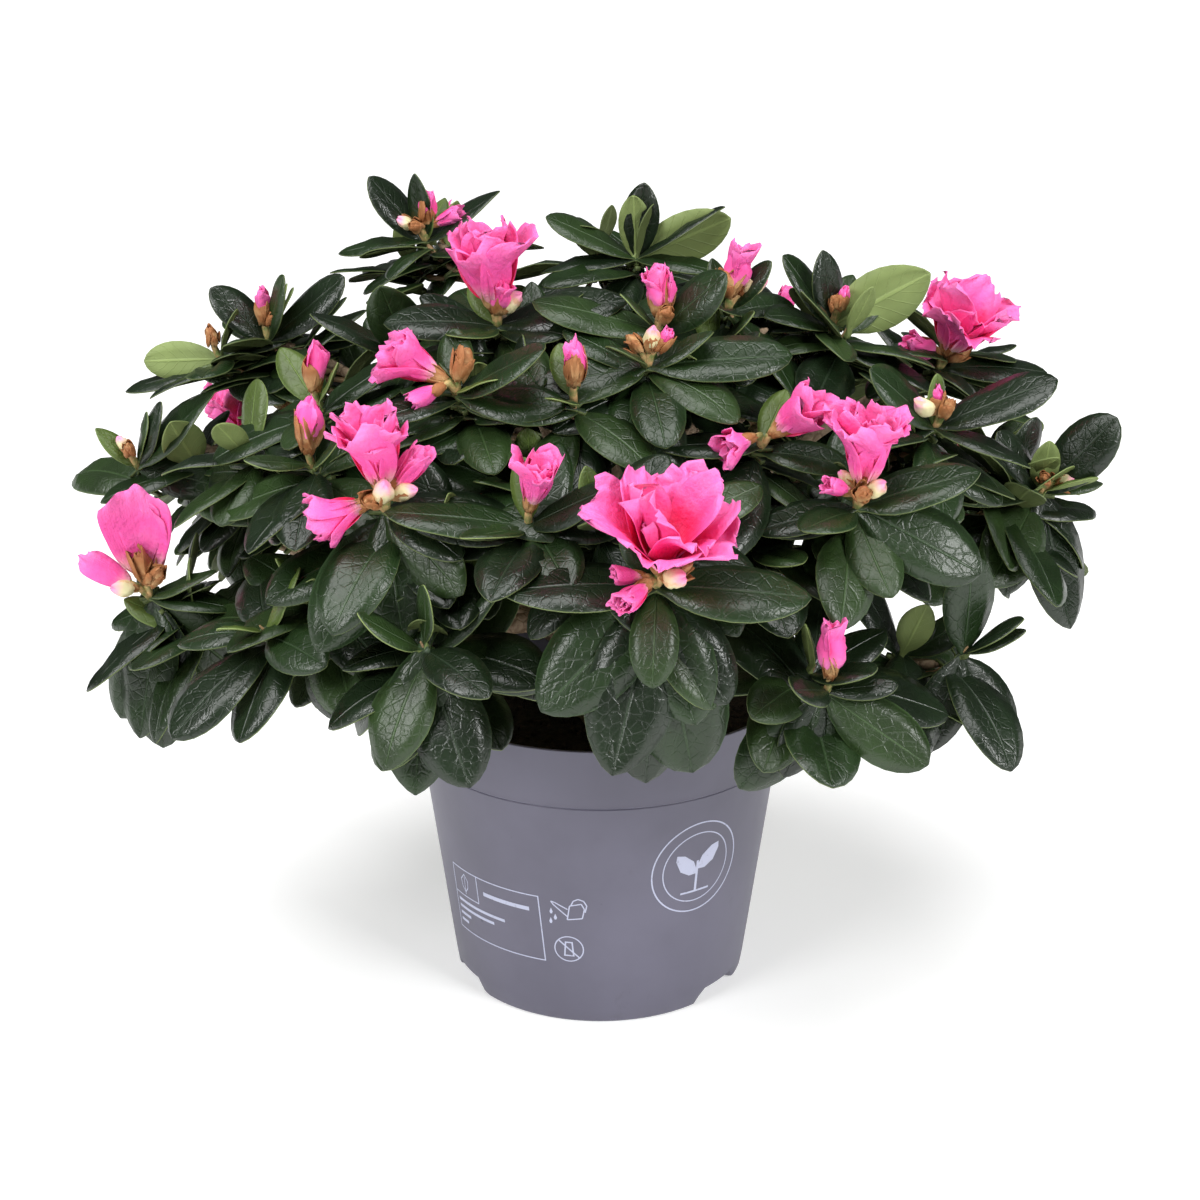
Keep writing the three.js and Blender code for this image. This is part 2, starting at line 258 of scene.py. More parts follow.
def pot_mesh():
    def outside(height, off=0.0):
        return wall_radius(height) + off, height

    top = POT_HEIGHT - LIP_ROUND
    ledge = BAND_STEP + 0.25 * MM
    notch_inside = NOTCH_INNER - POT_WALL
    foot_inside = wall_radius(POT_FLOOR) - POT_WALL
    bm = turned([
        # under the foot, from the middle out
        (0, 0), (20 * MM, 0), (NOTCH_INNER, 0), (NOTCH_INNER + 0.5 * MM, 0),
        (FOOT_RADIUS - 1.6 * MM, 0), (FOOT_RADIUS - 0.5 * MM, 0.25 * MM), (FOOT_RADIUS, 1.2 * MM),
        # up the outside, with the groove and the ledge at the foot of the band
        outside(5.4 * MM), outside(7 * MM), outside(45 * MM), outside(BAND_FOOT - 0.9 * MM),
        (wall_radius(BAND_FOOT) - 0.40 * MM, BAND_FOOT - 0.3 * MM),
        (wall_radius(BAND_FOOT) + 0.35 * MM, BAND_FOOT - 0.1 * MM),
        (wall_radius(BAND_FOOT) + ledge, BAND_FOOT + 0.4 * MM),
        (wall_radius(BAND_FOOT) + ledge, BAND_FOOT + 1.1 * MM),
        outside(BAND_FOOT + 2.2 * MM, BAND_STEP), (RIM_RADIUS, top),
        # down the inside and back to the middle of the floor
        (RIM_RADIUS - POT_WALL, top), outside(BAND_FOOT, -POT_WALL), outside(9 * MM, -POT_WALL),
        (foot_inside, POT_FLOOR + 1 * MM), (foot_inside - 1 * MM, POT_FLOOR),
        (notch_inside + 0.5 * MM, POT_FLOOR), (notch_inside, POT_FLOOR),
        (20 * MM, POT_FLOOR), (0, POT_FLOOR),
    ], POT_STEPS)
    lips = [e for e in bm.edges if all(abs(v.co.z - top) < SAME_SPOT for v in e.verts)]
    rings = [e for e in lips if abs(e.verts[0].co.xy.length - e.verts[1].co.xy.length) < SAME_SPOT]
    bmesh.ops.bevel(
        bm, geom=rings, offset=0.5 * MM, affect="EDGES", segments=3, profile=0.5, material=-1,
    )
    for vert in bm.verts:
        radius, height = vert.co.xy.length, vert.co.z
        if radius > NOTCH_INNER + 0.2 * MM and height < 1.3 * MM:  # the underside
            vert.co.z += (NOTCH_HEIGHT - height) * notch_share(vert.co)
        elif radius > notch_inside + 0.2 * MM and 1.5 * MM < height < 3 * MM:  # the floor over it
            vert.co.z += NOTCH_HEIGHT * notch_share(vert.co)
    bmesh.ops.recalc_face_normals(bm, faces=bm.faces)
    return bm


pot = object_of("pot_shell", pot_mesh(), [pot_plastic()])
shade_smooth(pot, sharp=32)
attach(pot, "root")
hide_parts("pot")

# ---------------------------------------------------------------------------------------------
# The marks printed on the wall in pale ink: a plant label with ruled lines in place of words, a
# watering can with drops, a small ring with a bar and a round leaf mark. All are plain signs.

INK_LIFT = 0.06 * MM  # how far the ink stands off the wall
INK_PALE = (0.46, 0.48, 0.62)
INK_LINE = 0.42  # mm
LABEL_LEFT, LABEL_RIGHT = -62, -20.5  # degrees
LABEL_FOOT, LABEL_TOP = 23.5, 48.3  # mm above the floor
CAN_PLACE = (-10.5, 44.5)  # bearing, and mm above the floor
BAR_RING_PLACE = (-10.9, 29.2)
LEAF_MARK_PLACE = (33.5, 56.8)


def on_wall(bearing, height):
    """The point of the wall's outside at a bearing in degrees and a height in mm."""
    radius = wall_radius(height * MM) + INK_LIFT
    return bearing_direction(bearing) * radius + Vector((0, 0, height * MM))


def ink_outline(points, width=INK_LINE, closed=True):
    """A printed line of a width in mm through flat points in mm, as quads in one bmesh."""
    bm = bmesh.new()
    count = len(points)
    for i in range(count if closed else count - 1):
        a, b = Vector(points[i]), Vector(points[(i + 1) % count])
        along = (b - a).normalized() * (width / 2 if closed else 0)
        side = Vector((-(b - a).y, (b - a).x)).normalized() * width / 2
        pieces = max(1, int((b - a).length / 1.5))
        for k in range(pieces):
            p = (a - along).lerp(b + along, k / pieces)
            q = (a - along).lerp(b + along, (k + 1) / pieces)
            corners = [p - side, q - side, q + side, p + side]
            bm.faces.new([bm.verts.new((*corner, 0)) for corner in corners])
    return bm


def ink_shape(points):
    """A filled flat shape of points in mm."""
    bm = bmesh.new()
    face = bm.faces.new([bm.verts.new((*point, 0)) for point in points])
    bmesh.ops.triangulate(bm, faces=[face])
    return bm


def ring_points(radius, start, end, steps):
    turns = [math.radians(start + (end - start) * k / steps) for k in range(steps + 1)]
    return [(radius * math.cos(turn), radius * math.sin(turn)) for turn in turns]


def ring_band(inner, outer, start, end, steps):
    """A broad arc of ink between two radii."""
    bm = bmesh.new()
    inside = [bm.verts.new((*p, 0)) for p in ring_points(inner, start, end, steps)]
    outside = [bm.verts.new((*p, 0)) for p in ring_points(outer, start, end, steps)]
    for k in range(steps):
        bm.faces.new((inside[k], outside[k], outside[k + 1], inside[k + 1]))
    return bm


def print_on_wall(name, flats, place):
    """Flat shapes in mm round a place, laid on the wall and joined as one piece."""
    bearing, height = place
    whole = bmesh.new()
    for flat in flats:
        mesh = bpy.data.meshes.new(name)
        flat.to_mesh(mesh)
        flat.free()
        whole.from_mesh(mesh)
        bpy.data.meshes.remove(mesh)
    for vert in whole.verts:
        across, up = vert.co.x, vert.co.y
        level = height + up
        degrees = math.degrees(across * MM / wall_radius(level * MM))
        vert.co = on_wall(bearing + degrees, level)
    for face in whole.faces:
        face.normal_update()
        if face.normal.dot(face.calc_center_median() * Vector((1, 1, 0))) < 0:
            face.normal_flip()
    piece = object_of(name, whole, [ink])
    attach(piece, "root")


def pale_ink():
    finish = Finish("pale_ink", Roughness=0.5)
    wear = finish.noise(finish.place(), 380, detail=4, roughness=0.7)
    thin = wear.between(0.56, 0.74) * 0.55
    return finish.feed(Base_Color=finish.mix(thin, INK_PALE, POT_GREY))


ink = pale_ink()
label_place = ((LABEL_LEFT + LABEL_RIGHT) / 2, (LABEL_FOOT + LABEL_TOP) / 2)
label_half = math.radians(LABEL_RIGHT - LABEL_LEFT) / 2 * wall_radius(label_place[1] * MM) / MM
label_tall = (LABEL_TOP - LABEL_FOOT) / 2


def label_flats():
    left, right, top = -label_half, label_half, label_tall
    cell_right, cell_foot = left + 14, top - 10.5
    middle = Vector((left + 7, top - 5.2))
    sprig = [(0, 3.4), (1.9, 1.2), (1.5, -1.6), (0, -3.4), (-1.5, -1.6), (-1.9, 1.2)]
    flats = [
        ink_outline([(left, -top), (right, -top), (right, top), (left, top)]),
        ink_outline([(cell_right, top), (cell_right, cell_foot), (left, cell_foot)], closed=False),
        ink_outline([middle + Vector(p) for p in sprig], 0.35),
        ink_outline([middle + Vector((0, -4.4)), middle + Vector((0, 2.2))], 0.3, closed=False),
        ink_outline([(cell_right + 3, top - 5.5), (cell_right + 22, top - 5.5)], 1.5, closed=False),
    ]
    for k, long in enumerate((24, 19, 6.5, 4.5)):
        start, level = left + 1.6, cell_foot - 2.6 - 2.7 * k
        flats.append(ink_outline([(start, level), (start + long, level)], 1.1, closed=False))
    return flats


def can_flats():
    body = [(-0.6, -3.8), (4.4, -3.0), (5.2, 0.6), (4.2, 2.6), (0.3, 1.6), (-0.6, -3.8)]
    handle = [(0.8, 1.9), (1.6, 3.6), (3.2, 4.4), (5.0, 3.8), (6.0, 2.0), (5.4, -0.6)]
    spout = [(-0.5, -2.6), (-5.2, 1.6), (-6.0, 2.8), (-4.6, 2.4), (-0.4, 0.2)]
    drops = []
    for x, y in ((-6.0, -1.2), (-4.6, -3.4), (-6.2, -5.0)):
        drop = [(x, y + 1.5), (x + 0.55, y), (x + 0.3, y - 0.8), (x - 0.3, y - 0.8), (x - 0.55, y)]
        drops.append(ink_shape(drop))
    return [ink_outline(body, closed=False), ink_outline(handle, closed=False),
            ink_outline(spout, closed=False), *drops]


def bar_ring_flats():
    pillar = [(-1.5, -2.6), (1.5, -2.6), (1.1, 2.6), (-1.1, 2.6)]
    bar = ink_outline([(-3.4, 3.2), (3.4, -3.2)], 0.5, closed=False)
    return [ring_band(4.6, 5.0, 0, 360, 40), bar, ink_outline(pillar, 0.5)]


def leaf_mark_flats():
    flats = [ring_band(16.4, 16.9, 0, 360, 64), ring_band(12.6, 13.0, 0, 360, 56)]
    blade = [(0.4, -1.6), (3.0, -1.8), (6.4, 0.2), (8.4, 4.4), (8.2, 6.6), (5.2, 6.0), (1.6, 3.2),
             (0.4, 0.4)]
    for way in (-1, 1):
        flats.append(ink_shape([(way * x, y + 0.8 * way) for x, y in blade]))
    flats.append(ink_outline([(0, -9.2), (0, 2.4)], 0.9, closed=False))
    flats.append(ink_outline([(-5.6, -9.2), (5.6, -9.2)], 0.7, closed=False))
    return flats


print_on_wall("printed_plant_label", label_flats(), label_place)
print_on_wall("printed_watering_can", can_flats(), CAN_PLACE)
print_on_wall("printed_bar_ring", bar_ring_flats(), BAR_RING_PLACE)
print_on_wall("printed_leaf_mark", leaf_mark_flats(), LEAF_MARK_PLACE)

# ---------------------------------------------------------------------------------------------
# The peat: dark, moist and crumbly, filled to a finger's breadth under the rim, with loose crumbs
# lying on it. It is trodden flat only round the stem.

PEAT_FOOT = 7.2 * MM
PEAT_CLEARANCE = 0.4 * MM
PEAT_DARK = (0.012, 0.008, 0.006)
PEAT_WARM = (0.045, 0.028, 0.018)
PEAT_RINGS = 26
TRODDEN = 14  # mm round the stem that are flat
CRUMBS = 420
CRUMB_SEED = 11
stem_low, stem_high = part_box("stem")
PEAT_TOP = stem_low.z - 0.4 * MM


def hills(point, size):
    """Smooth uneven height between -1 and 1, from a few crossed waves of a size in metres."""
    x, y, z = (c / size for c in point)
    along = math.sin(x * 1.7 + 1.3 * math.sin(y * 1.1 + z))
    beside = math.sin(y * 2.3 + 0.9 * math.sin(x * 1.9 - z))
    crossed = math.sin((x + y) * 3.1 + z * 2.7) * math.cos((x - y) * 2.6 + z * 1.9)
    return (along + beside + crossed) / 3


def peat_finish():
    finish = Finish("moist_peat", Specular_IOR_Level=0.25)
    place = finish.place()
    crumbs = finish.noise(place, 420, detail=8, roughness=0.75)
    fibres = finish.noise(place, 1500, detail=4, roughness=0.7)
    return finish.feed(
        Base_Color=finish.mix(crumbs.between(0.42, 0.68), PEAT_DARK, PEAT_WARM),
        Roughness=0.75 + 0.2 * fibres,
        Normal=finish.bump(crumbs + 0.4 * fibres, 0.8, 0.0012),
    )


def peat_mesh():
    foot = wall_radius(PEAT_FOOT) - POT_WALL - PEAT_CLEARANCE
    edge = wall_radius(PEAT_TOP) - POT_WALL - PEAT_CLEARANCE
    rings = [(edge * k / PEAT_RINGS, PEAT_TOP) for k in range(PEAT_RINGS, -1, -1)]
    bm = turned([(0, PEAT_FOOT), (foot, PEAT_FOOT), (edge, PEAT_TOP - 2 * MM), *rings], 96)
    for vert in bm.verts:
        if vert.co.z > PEAT_TOP - 1 * MM:
            away = min(1.0, max(0.0, vert.co.xy.length / MM - TRODDEN) / 8)
            vert.co.z += away * (1.1 * hills(vert.co, 7 * MM) + 0.6 * hills(vert.co, 2.4 * MM)) * MM
    bmesh.ops.recalc_face_normals(bm, faces=bm.faces)
    return bm


class Stamp:
    """A small mesh that is laid down many times as one joined piece, each copy bent in arrays."""

    def __init__(self, bm):
        bm.verts.index_update()
        self.points = np.array([vert.co for vert in bm.verts])
        self.faces = [[vert.index for vert in face.verts] for face in bm.faces]
        self.kinds = np.array([face.material_index for face in bm.faces])
        bm.free()

    def lay(self, name, copies, materials, slots=None, chart=None):
        """copies holds each copy's points, slots each copy's material for each kind of face."""
        count, size = copies.shape[:2]
        starts = np.arange(count) * size
        faces = [[start + k for k in face] for start in starts.tolist() for face in self.faces]
        mesh = bpy.data.meshes.new(name)
        mesh.from_pydata(copies.reshape(-1, 3).tolist(), [], faces)
        if slots is not None:
            indices = np.asarray(slots)[:, self.kinds].ravel()
            mesh.polygons.foreach_set("material_index", indices.astype(np.int32))
        if chart is not None:
            corners = np.concatenate([chart[face] for face in self.faces])
            layer = mesh.uv_layers.new(name="blade")
            layer.data.foreach_set("uv", np.tile(corners, (count, 1)).ravel().astype(np.float32))
        piece = object_of(name, mesh, materials)
        shade_smooth(piece)
        return piece


def crumb_stamp():
    bm = bmesh.new()
    bmesh.ops.create_icosphere(bm, subdivisions=1, radius=1)
    for vert in bm.verts:
        vert.co *= 1 + 0.25 * hills(vert.co, 0.6)
    return Stamp(bm)


def peat_crumbs(peat):
    deal = random.Random(CRUMB_SEED)
    stamp = crumb_stamp()
    copies = []
    while len(copies) < CRUMBS:
        place = bearing_direction(deal.uniform(0, 360)) * deal.uniform(15, 60) * MM
        size = deal.uniform(0.5, 1.7) * MM
        axis = Vector((deal.uniform(-1, 1), deal.uniform(-1, 1), deal.uniform(-1, 1))).normalized()
        turn = np.array(Matrix.Rotation(deal.uniform(0, 6.28), 3, axis))
        sides = (deal.uniform(0.7, 1.3), deal.uniform(0.7, 1.3), deal.uniform(0.5, 0.9))
        height = PEAT_TOP + (1.1 * hills((*place.xy, PEAT_TOP), 7 * MM) + 0.3) * MM
        shape = stamp.points * (np.array(sides) * size)
        copies.append(shape @ turn.T + np.array((place.x, place.y, height)))
    return stamp.lay("peat_crumbs", np.array(copies), [peat])


peat = peat_finish()
peat_bed = object_of("peat_bed", peat_mesh(), [peat])
shade_smooth(peat_bed)
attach(peat_bed, "root")
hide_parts("soil")
crumbs = peat_crumbs(peat)
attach(crumbs, "root")

# ---------------------------------------------------------------------------------------------
# The wood: a short forked stem that flares into its roots at the peat, main boughs that arch out
# of it to each mass of the crown, and thin twigs that carry the shoots. The bark of the stem and
# boughs is thin, grey-brown and cracked lengthwise; the youngest twigs are smooth and tan.

BARK_BROWN = (0.13, 0.085, 0.05)
BARK_PALE = (0.30, 0.22, 0.15)
TWIG_TAN = (0.33, 0.21, 0.10)
STEM_FOOT_RADIUS = 14 * MM
STEM_NECK_RADIUS = 8.5 * MM
STEM_TIP_RADIUS = 5.5 * MM
BOUGH_START, BOUGH_END = 4.0 * MM, 1.6 * MM
SIDE_BOUGH_START, SIDE_BOUGH_END = 3.0 * MM, 1.3 * MM
TWIG_START, TWIG_END = 1.25 * MM, 0.75 * MM
STEM_STEPS, BOUGH_STEPS, TWIG_STEPS = 30, 22, 8
SHOOT_SEED = 7000
ROW_WIDTH = 1.28  # how far the added shoots of a mass are spread, in half widths of its box
INNER_RISE, INNER_STEP = 0.35, 0.9  # how far up and in every second one stands, in half sizes
LOW_MASS_LIFT = 0.28  # how far up the shoots of the low masses stand, in heights of the box

MASSES = sorted(name[len("foliage_"):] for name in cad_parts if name.startswith("foliage_"))

# The shoots that can be told apart on the front, mass by mass: each heart's place in the mass's
# box, as shares across, deep and up, then its flowers and buds, then its outstanding leaves. Each
# of these has the bearing that it leans to and its lean from upright, both in degrees, and its
# size: a share of full size, or for a leaf its length in mm.
PALE = True  # of a leaf that turns its underside to the front
SHOOTS = {
    "left_low": [
        (0.47, 0.36, 0.69,
         [("upright_petals", -60, 4, 1.1), ("loose_petal", -95, 66, 0.85),
          ("cream_bud", -50, 74, 0.9), ("brown_bud", 60, 46, 1.0)],
         [(-30, 170, 44), (50, 170, 47), (-80, 160, 41), (0, 178, 50), (84, 131, 41),
          (80, 90, 29), (84, 66, 24), (85, 26, 12)]),
    ],
    "left": [
        (0.30, 0.37, 0.40,
         [("cream_bud", -60, 30, 0.6), ("brown_bud", 0, 45, 0.6)],
         [(70, 22, 24), (84, 46, 37), (-80, 42, 18), (88, 104, 28)]),
    ],
    "left_front_low": [
        (0.36, 0.28, 0.62, [], []),
        (0.62, 0.45, 0.72, [], []),
    ],
    "crown_left": [
        (0.48, 0.50, 0.57,
         [("bud", -10, 6, 0.72), ("brown_bud", 60, 40, 0.7)],
         [(-90, 46, 25), (84, 52, 34), (30, 26, 26)]),
        (0.24, 0.45, 0.42, [("brown_bud", -30, 20, 0.7)], [(-92, 92, 25, PALE), (95, 70, 24)]),
    ],
    "left_front": [
        (0.71, 0.47, 0.83, [("bud", 10, 8, 0.95)], []),
        (0.71, 0.09, 0.57, [("bud", 20, 10, 1.1)], []),
        (0.30, 0.50, 0.50, [], []),
    ],
    "front_left": [
        (0.52, 0.34, 0.61,
         [("trumpet", -24, 10, 1.12), ("half_bud", 82, 40, 1.0),
          ("nodding_flower", -78, 110, 0.85), ("cream_bud", 10, 50, 1.0),
          ("cream_bud", 70, 72, 0.8), ("brown_bud", -20, 70, 0.9)],
         [(-55, 146, 43), (20, 158, 38), (-84, 84, 34), (84, 90, 40), (60, 128, 34)]),
    ],
    "crown_left_front": [
        (0.42, 0.37, 0.60,
         [("nodding_flower", -88, 62, 1.0), ("brown_bud", 60, 20, 1.1),
          ("half_bud", -62, 112, 0.7)],
         [(60, 60, 34), (80, 95, 36)]),
    ],
    "crown_front_left": [
        (0.56, 0.28, 0.45,
         [("fan_flower", -40, 10, 1.1), ("twisted_bud", 20, 32, 0.8), ("cream_bud", 60, 50, 0.9)],
         [(84, 72, 40), (-80, 80, 34)]),
    ],
    "crown_left_back": [
        (0.41, 0.51, 0.58,
         [("bud", -95, 62, 0.6), ("bud", 40, 16, 0.75), ("half_bud", 70, 66, 0.7),
          ("cream_bud", -60, 60, 0.7), ("brown_bud", -20, 70, 0.7)],
         [(-88, 42, 28), (-40, 12, 23), (88, 58, 30), (-94, 92, 30), (10, 4, 17)]),
    ],
    "crown_middle_left": [(0.50, 0.40, 0.55, [], [(-80, 60, 34), (-30, 30, 30)])],
    "crown_top": [
        (0.50, 0.45, 0.50,
         [],
         [(-86, 62, 32), (-20, 8, 21, PALE), (40, 9, 25), (84, 60, 33), (-84, 88, 31),
          (60, 88, 30), (84, 66, 33, PALE)]),
    ],
    "crown_front": [
        (0.47, 0.61, 0.60,
         [("twisted_bud", -40, 7, 0.95), ("bud", 60, 10, 0.85), ("brown_bud", 20, 52, 0.8)],
         [(-86, 72, 38), (70, 50, 28)]),
        (0.41, 0.35, 0.48,
         [("cream_bud", 20, 22, 0.8), ("bud", 70, 40, 0.5), ("brown_bud", -70, 40, 0.7)],
         [(88, 84, 42), (4, 146, 39), (-82, 96, 34)]),
    ],
    "crown_right_front": [
        (0.29, 0.57, 0.65,
         [("twisted_bud", 40, 14, 1.05), ("brown_bud", -30, 30, 1.0), ("cream_bud", 90, 60, 0.9)],
         [(70, 40, 20)]),
    ],
    "crown_right": [
        (0.38, 0.38, 0.52,
         [("bud", 40, 22, 0.5), ("brown_bud", -20, 30, 0.6)],
         [(-86, 34, 27), (-60, 10, 24), (82, 60, 34, PALE), (-90, 80, 30)]),
    ],
    "right_rear": [
        (0.36, 0.33, 0.50,
         [("open_flower", 48, 26, 1.0), ("twisted_bud", -60, 66, 0.9),
          ("brown_bud", 60, 60, 0.9)],
         [(88, 84, 36)]),
    ],
    "right": [
        (0.50, 0.41, 0.60,
         [("bud", -30, 20, 0.55), ("brown_bud", 20, 40, 0.8), ("cream_bud", -60, 60, 0.9)],
         [(-70, 48, 30), (84, 64, 39), (-20, 12, 18), (60, 100, 32), (-86, 100, 30)]),
    ],
    "front_right": [
        (0.55, 0.43, 0.58,
         [("trumpet", 25, 10, 1.15), ("half_bud", -62, 66, 0.6), ("cream_bud", 40, 52, 0.8),
          ("cream_bud", -100, 40, 0.6), ("brown_bud", 0, 60, 0.9)],
         [(30, 140, 28), (88, 70, 36), (70, 112, 40), (-86, 100, 30)]),
        (0.20, 0.59, 0.78,
         [("nodding_flower", 62, 52, 0.95), ("nodding_flower", -60, 100, 0.6)],
         [(-84, 84, 30)]),
    ],
    "right_low": [
        (0.52, 0.34, 0.66,
         [("cream_bud", 60, 70, 0.6), ("brown_bud", 80, 84, 0.7), ("half_bud", 128, 42, 0.9),
          ("brown_bud", -20, 60, 0.6)],
         [(20, 10, 18, PALE), (84, 42, 34), (-80, 36, 26), (60, 164, 46), (-52, 158, 33),
          (-86, 84, 38), (88, 74, 20)]),
    ],
    "front": [
        (0.30, 0.12, 0.36, [("nodding_flower", 40, 20, 0.85)], [(-84, 80, 40), (60, 60, 30)]),
        (0.54, 0.66, 0.86, [("bud", 10, 14, 0.9)], []),
    ],
    "front_low": [
        (0.56, 0.40, 0.64,
         [("wide_flower", 22, 24, 1.0), ("half_bud", -35, 104, 0.85), ("half_bud", -65, 80, 0.6),
          ("brown_bud", 66, 62, 1.0), ("cream_bud", 40, 74, 0.9)],
         [(-82, 84, 42), (-68, 131, 45), (44, 156, 38), (70, 146, 37), (86, 92, 42),
          (-50, 162, 52), (-20, 172, 55), (55, 166, 53)]),
    ],
    "front_right_low": [
        (0.53, 0.44, 0.55,
         [("twisted_bud", 0, 4, 1.05)],
         [(-70, 152, 26), (-84, 137, 35), (0, 172, 22), (76, 122, 35), (86, 80, 20)]),
    ],
    "right_front_low": [
        (0.60, 0.40, 0.62, [], [(10, 10, 32), (-60, 156, 31), (84, 150, 31), (70, 60, 20)]),
    ],
    "front_left_low": [(0.44, 0.34, 0.74, [], [(-14, 168, 42)])],
}
# What the shoots on the other sides carry, dealt out by seed.
OTHER_BLOSSOM = [
    [("open_flower", 0, 45, 1.0), ("cream_bud", 120, 50, 0.8)],
    [("trumpet", 20, 12, 1.0), ("bud", 140, 50, 0.7), ("cream_bud", -60, 55, 0.8)],
    [("bud", 0, 10, 0.95)],
    [("cream_bud", -40, 30, 0.7), ("brown_bud", 60, 40, 0.8)],
    [("bud", -80, 30, 0.65), ("bud", 60, 20, 0.8), ("cream_bud", 0, 50, 0.7)],
    [("nodding_flower", 30, 55, 1.0), ("brown_bud", -90, 40, 0.9)],
    [("twisted_bud", 10, 14, 1.0), ("brown_bud", 90, 50, 0.8)],
    [], [],
]
OTHER_BUDS = OTHER_BLOSSOM[2:5]
HIDDEN_FROM = 30 * MM  # how far back a shoot of these sides stands
OPEN_FLOWERS_UNDER = 172 * MM  # higher ones would show over the front, so they are only buds
OPEN_FLOWERS_BEHIND = 80 * MM
# Masses that let the sky through, those whose old leaves hang, and those with few leaves of their
# own beside the listed ones.
OPEN_MASSES = ("left", "left_front_low", "right_front_low", "front_right_low", "front_left_low")
HANGING_MASSES = ("left_low", "front_left", "front_low", "right_low", "right_front_low")
BARE_MASSES = ("left", "left_low", "front_right_low", "right_front_low")


def mass_box(mass):
    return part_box("foliage_" + mass)


def mass_middle(mass):
    low, high = mass_box(mass)
    return (low + high) / 2


def outward(point):
    """The level direction from the stem to a point, short near the stem's own axis."""
    level = Vector((point.x, point.y, 0))
    return level / max(level.length, 60 * MM)


def stem_axis(height):
    """The stem's middle at a height; it leans a little to the right as it rises."""
    share = (height - stem_low.z) / (stem_high.z - stem_low.z)
    return Vector((5 * MM * share**2, 0, height))


def curve(start, first, second, end, steps):
    """Points along a smooth curve that leaves its start towards first and comes in from second."""
    points = []
    for k in range(steps + 1):
        t = k / steps
        a, b, c, d = (1 - t) ** 3, 3 * t * (1 - t) ** 2, 3 * t**2 * (1 - t), t**3
        points.append(start * a + first * b + second * c + end * d)
    return points


def arch(start, end, lift, droop, steps):
    """Points along a limb that leaves its start level and rises to its end."""
    level = Vector((end.x - start.x, end.y - start.y, 0))
    climb = max(end.z - start.z, 12 * MM)
    first = start + level / 3 + Vector((0, 0, climb * lift))
    second = end - level / 3 - Vector((0, 0, droop))
    return curve(start, first, second, end, steps)


def tube_stamp(sides, steps):
    """A capped tube whose points hold the angle round it and the step along it."""
    bm = bmesh.new()
    bmesh.ops.create_cone(bm, cap_ends=True, segments=sides, radius1=1, radius2=1, depth=1)
    long_edges = [e for e in bm.edges if abs(e.verts[0].co.z - e.verts[1].co.z) > 0.5]
    bmesh.ops.subdivide_edges(bm, edges=long_edges, cuts=steps - 1, use_grid_fill=True)
    return Stamp(bm)


def bend_tube(stamp, points, radius_at):
    """The stamp's points moved onto a path; radius_at takes the share along and the angle round."""
    path = [Vector(point) for point in points]
    side = (path[1] - path[0]).orthogonal().normalized()
    frames = []
    for k, point in enumerate(path):
        along = (path[min(k + 1, len(path) - 1)] - path[max(k - 1, 0)]).normalized()
        side = (side - along * side.dot(along)).normalized()
        frames.append((point, side, along.cross(side)))
    moved = []
    last = len(path) - 1
    for x, y, z in stamp.points:
        share = z + 0.5
        point, side, other = frames[min(last, round(share * last))]
        angle = math.atan2(y, x)
        radius = radius_at(share, angle) * math.hypot(x, y)
        moved.append(point + (side * math.cos(angle) + other * math.sin(angle)) * radius)
    return np.array(moved)


def bark_finish():
    finish = Finish("thin_bark", Specular_IOR_Level=0.3)
    place = finish.place()
    plates = finish.noise(place, 260, detail=6, roughness=0.7)
    lines = finish.cells(place, 240.0).between(0.0, 0.12)
    pale = (plates.between(0.4, 0.62) * 0.7 + lines * 0.3).least(1.0)
    return finish.feed(
        Base_Color=finish.mix(pale, BARK_BROWN, BARK_PALE),
        Roughness=0.72 + 0.2 * plates,
        Normal=finish.bump(plates + lines * 0.5, 0.7, 0.0006),
    )


def twig_finish():
    finish = Finish("young_twig", Specular_IOR_Level=0.4)
    place = finish.place()
    tone = finish.noise(place, 120, detail=4)
    hairs = finish.noise(place, 1400, detail=3)
    return finish.feed(
        Base_Color=finish.mix(tone.between(0.35, 0.65), BARK_BROWN, TWIG_TAN),
        Roughness=0.5 + 0.2 * hairs,
        Normal=finish.bump(hairs, 0.4, 0.0003),
    )


def stem_radius(share, angle):
    flare = math.exp(-share * 7)
    straight = STEM_NECK_RADIUS + (STEM_TIP_RADIUS - STEM_NECK_RADIUS) * share
    lobes = 1 + 0.2 * flare * math.cos(5 * angle)
    ridges = 1 + 0.035 * math.sin(9 * angle + 4 * share) + 0.03 * math.sin(31 * share + 3 * angle)
    closing = 1 if share < 0.97 else 0.45
    return (straight + (STEM_FOOT_RADIUS - STEM_NECK_RADIUS) * flare) * lobes * ridges * closing


def limb_radius(start, end, seed):
    """A limb's taper, with the knots and ridges of its bark, and a rounded tip."""
    def radius_at(share, angle):
        ridges = 0.06 * math.sin(5 * angle + seed + 5 * share)
        knots = 0.05 * math.sin(23 * share + 2 * angle + seed)
        closing = 0.35 if share > 0.99 else 1
        return (start + (end - start) * share) * (1 + ridges + knots) * closing
    return radius_at


bark = bark_finish()
twig_skin = twig_finish()
stem_tall = stem_high.z - stem_low.z
stem_path = [stem_axis(stem_low.z + stem_tall * k / STEM_STEPS) for k in range(STEM_STEPS + 1)]
stem_stamp = tube_stamp(40, STEM_STEPS)
stem_copies = [bend_tube(stem_stamp, stem_path, stem_radius)]
stem = stem_stamp.lay("barked_stem", np.array(stem_copies), [bark])
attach(stem, "root")
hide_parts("stem")

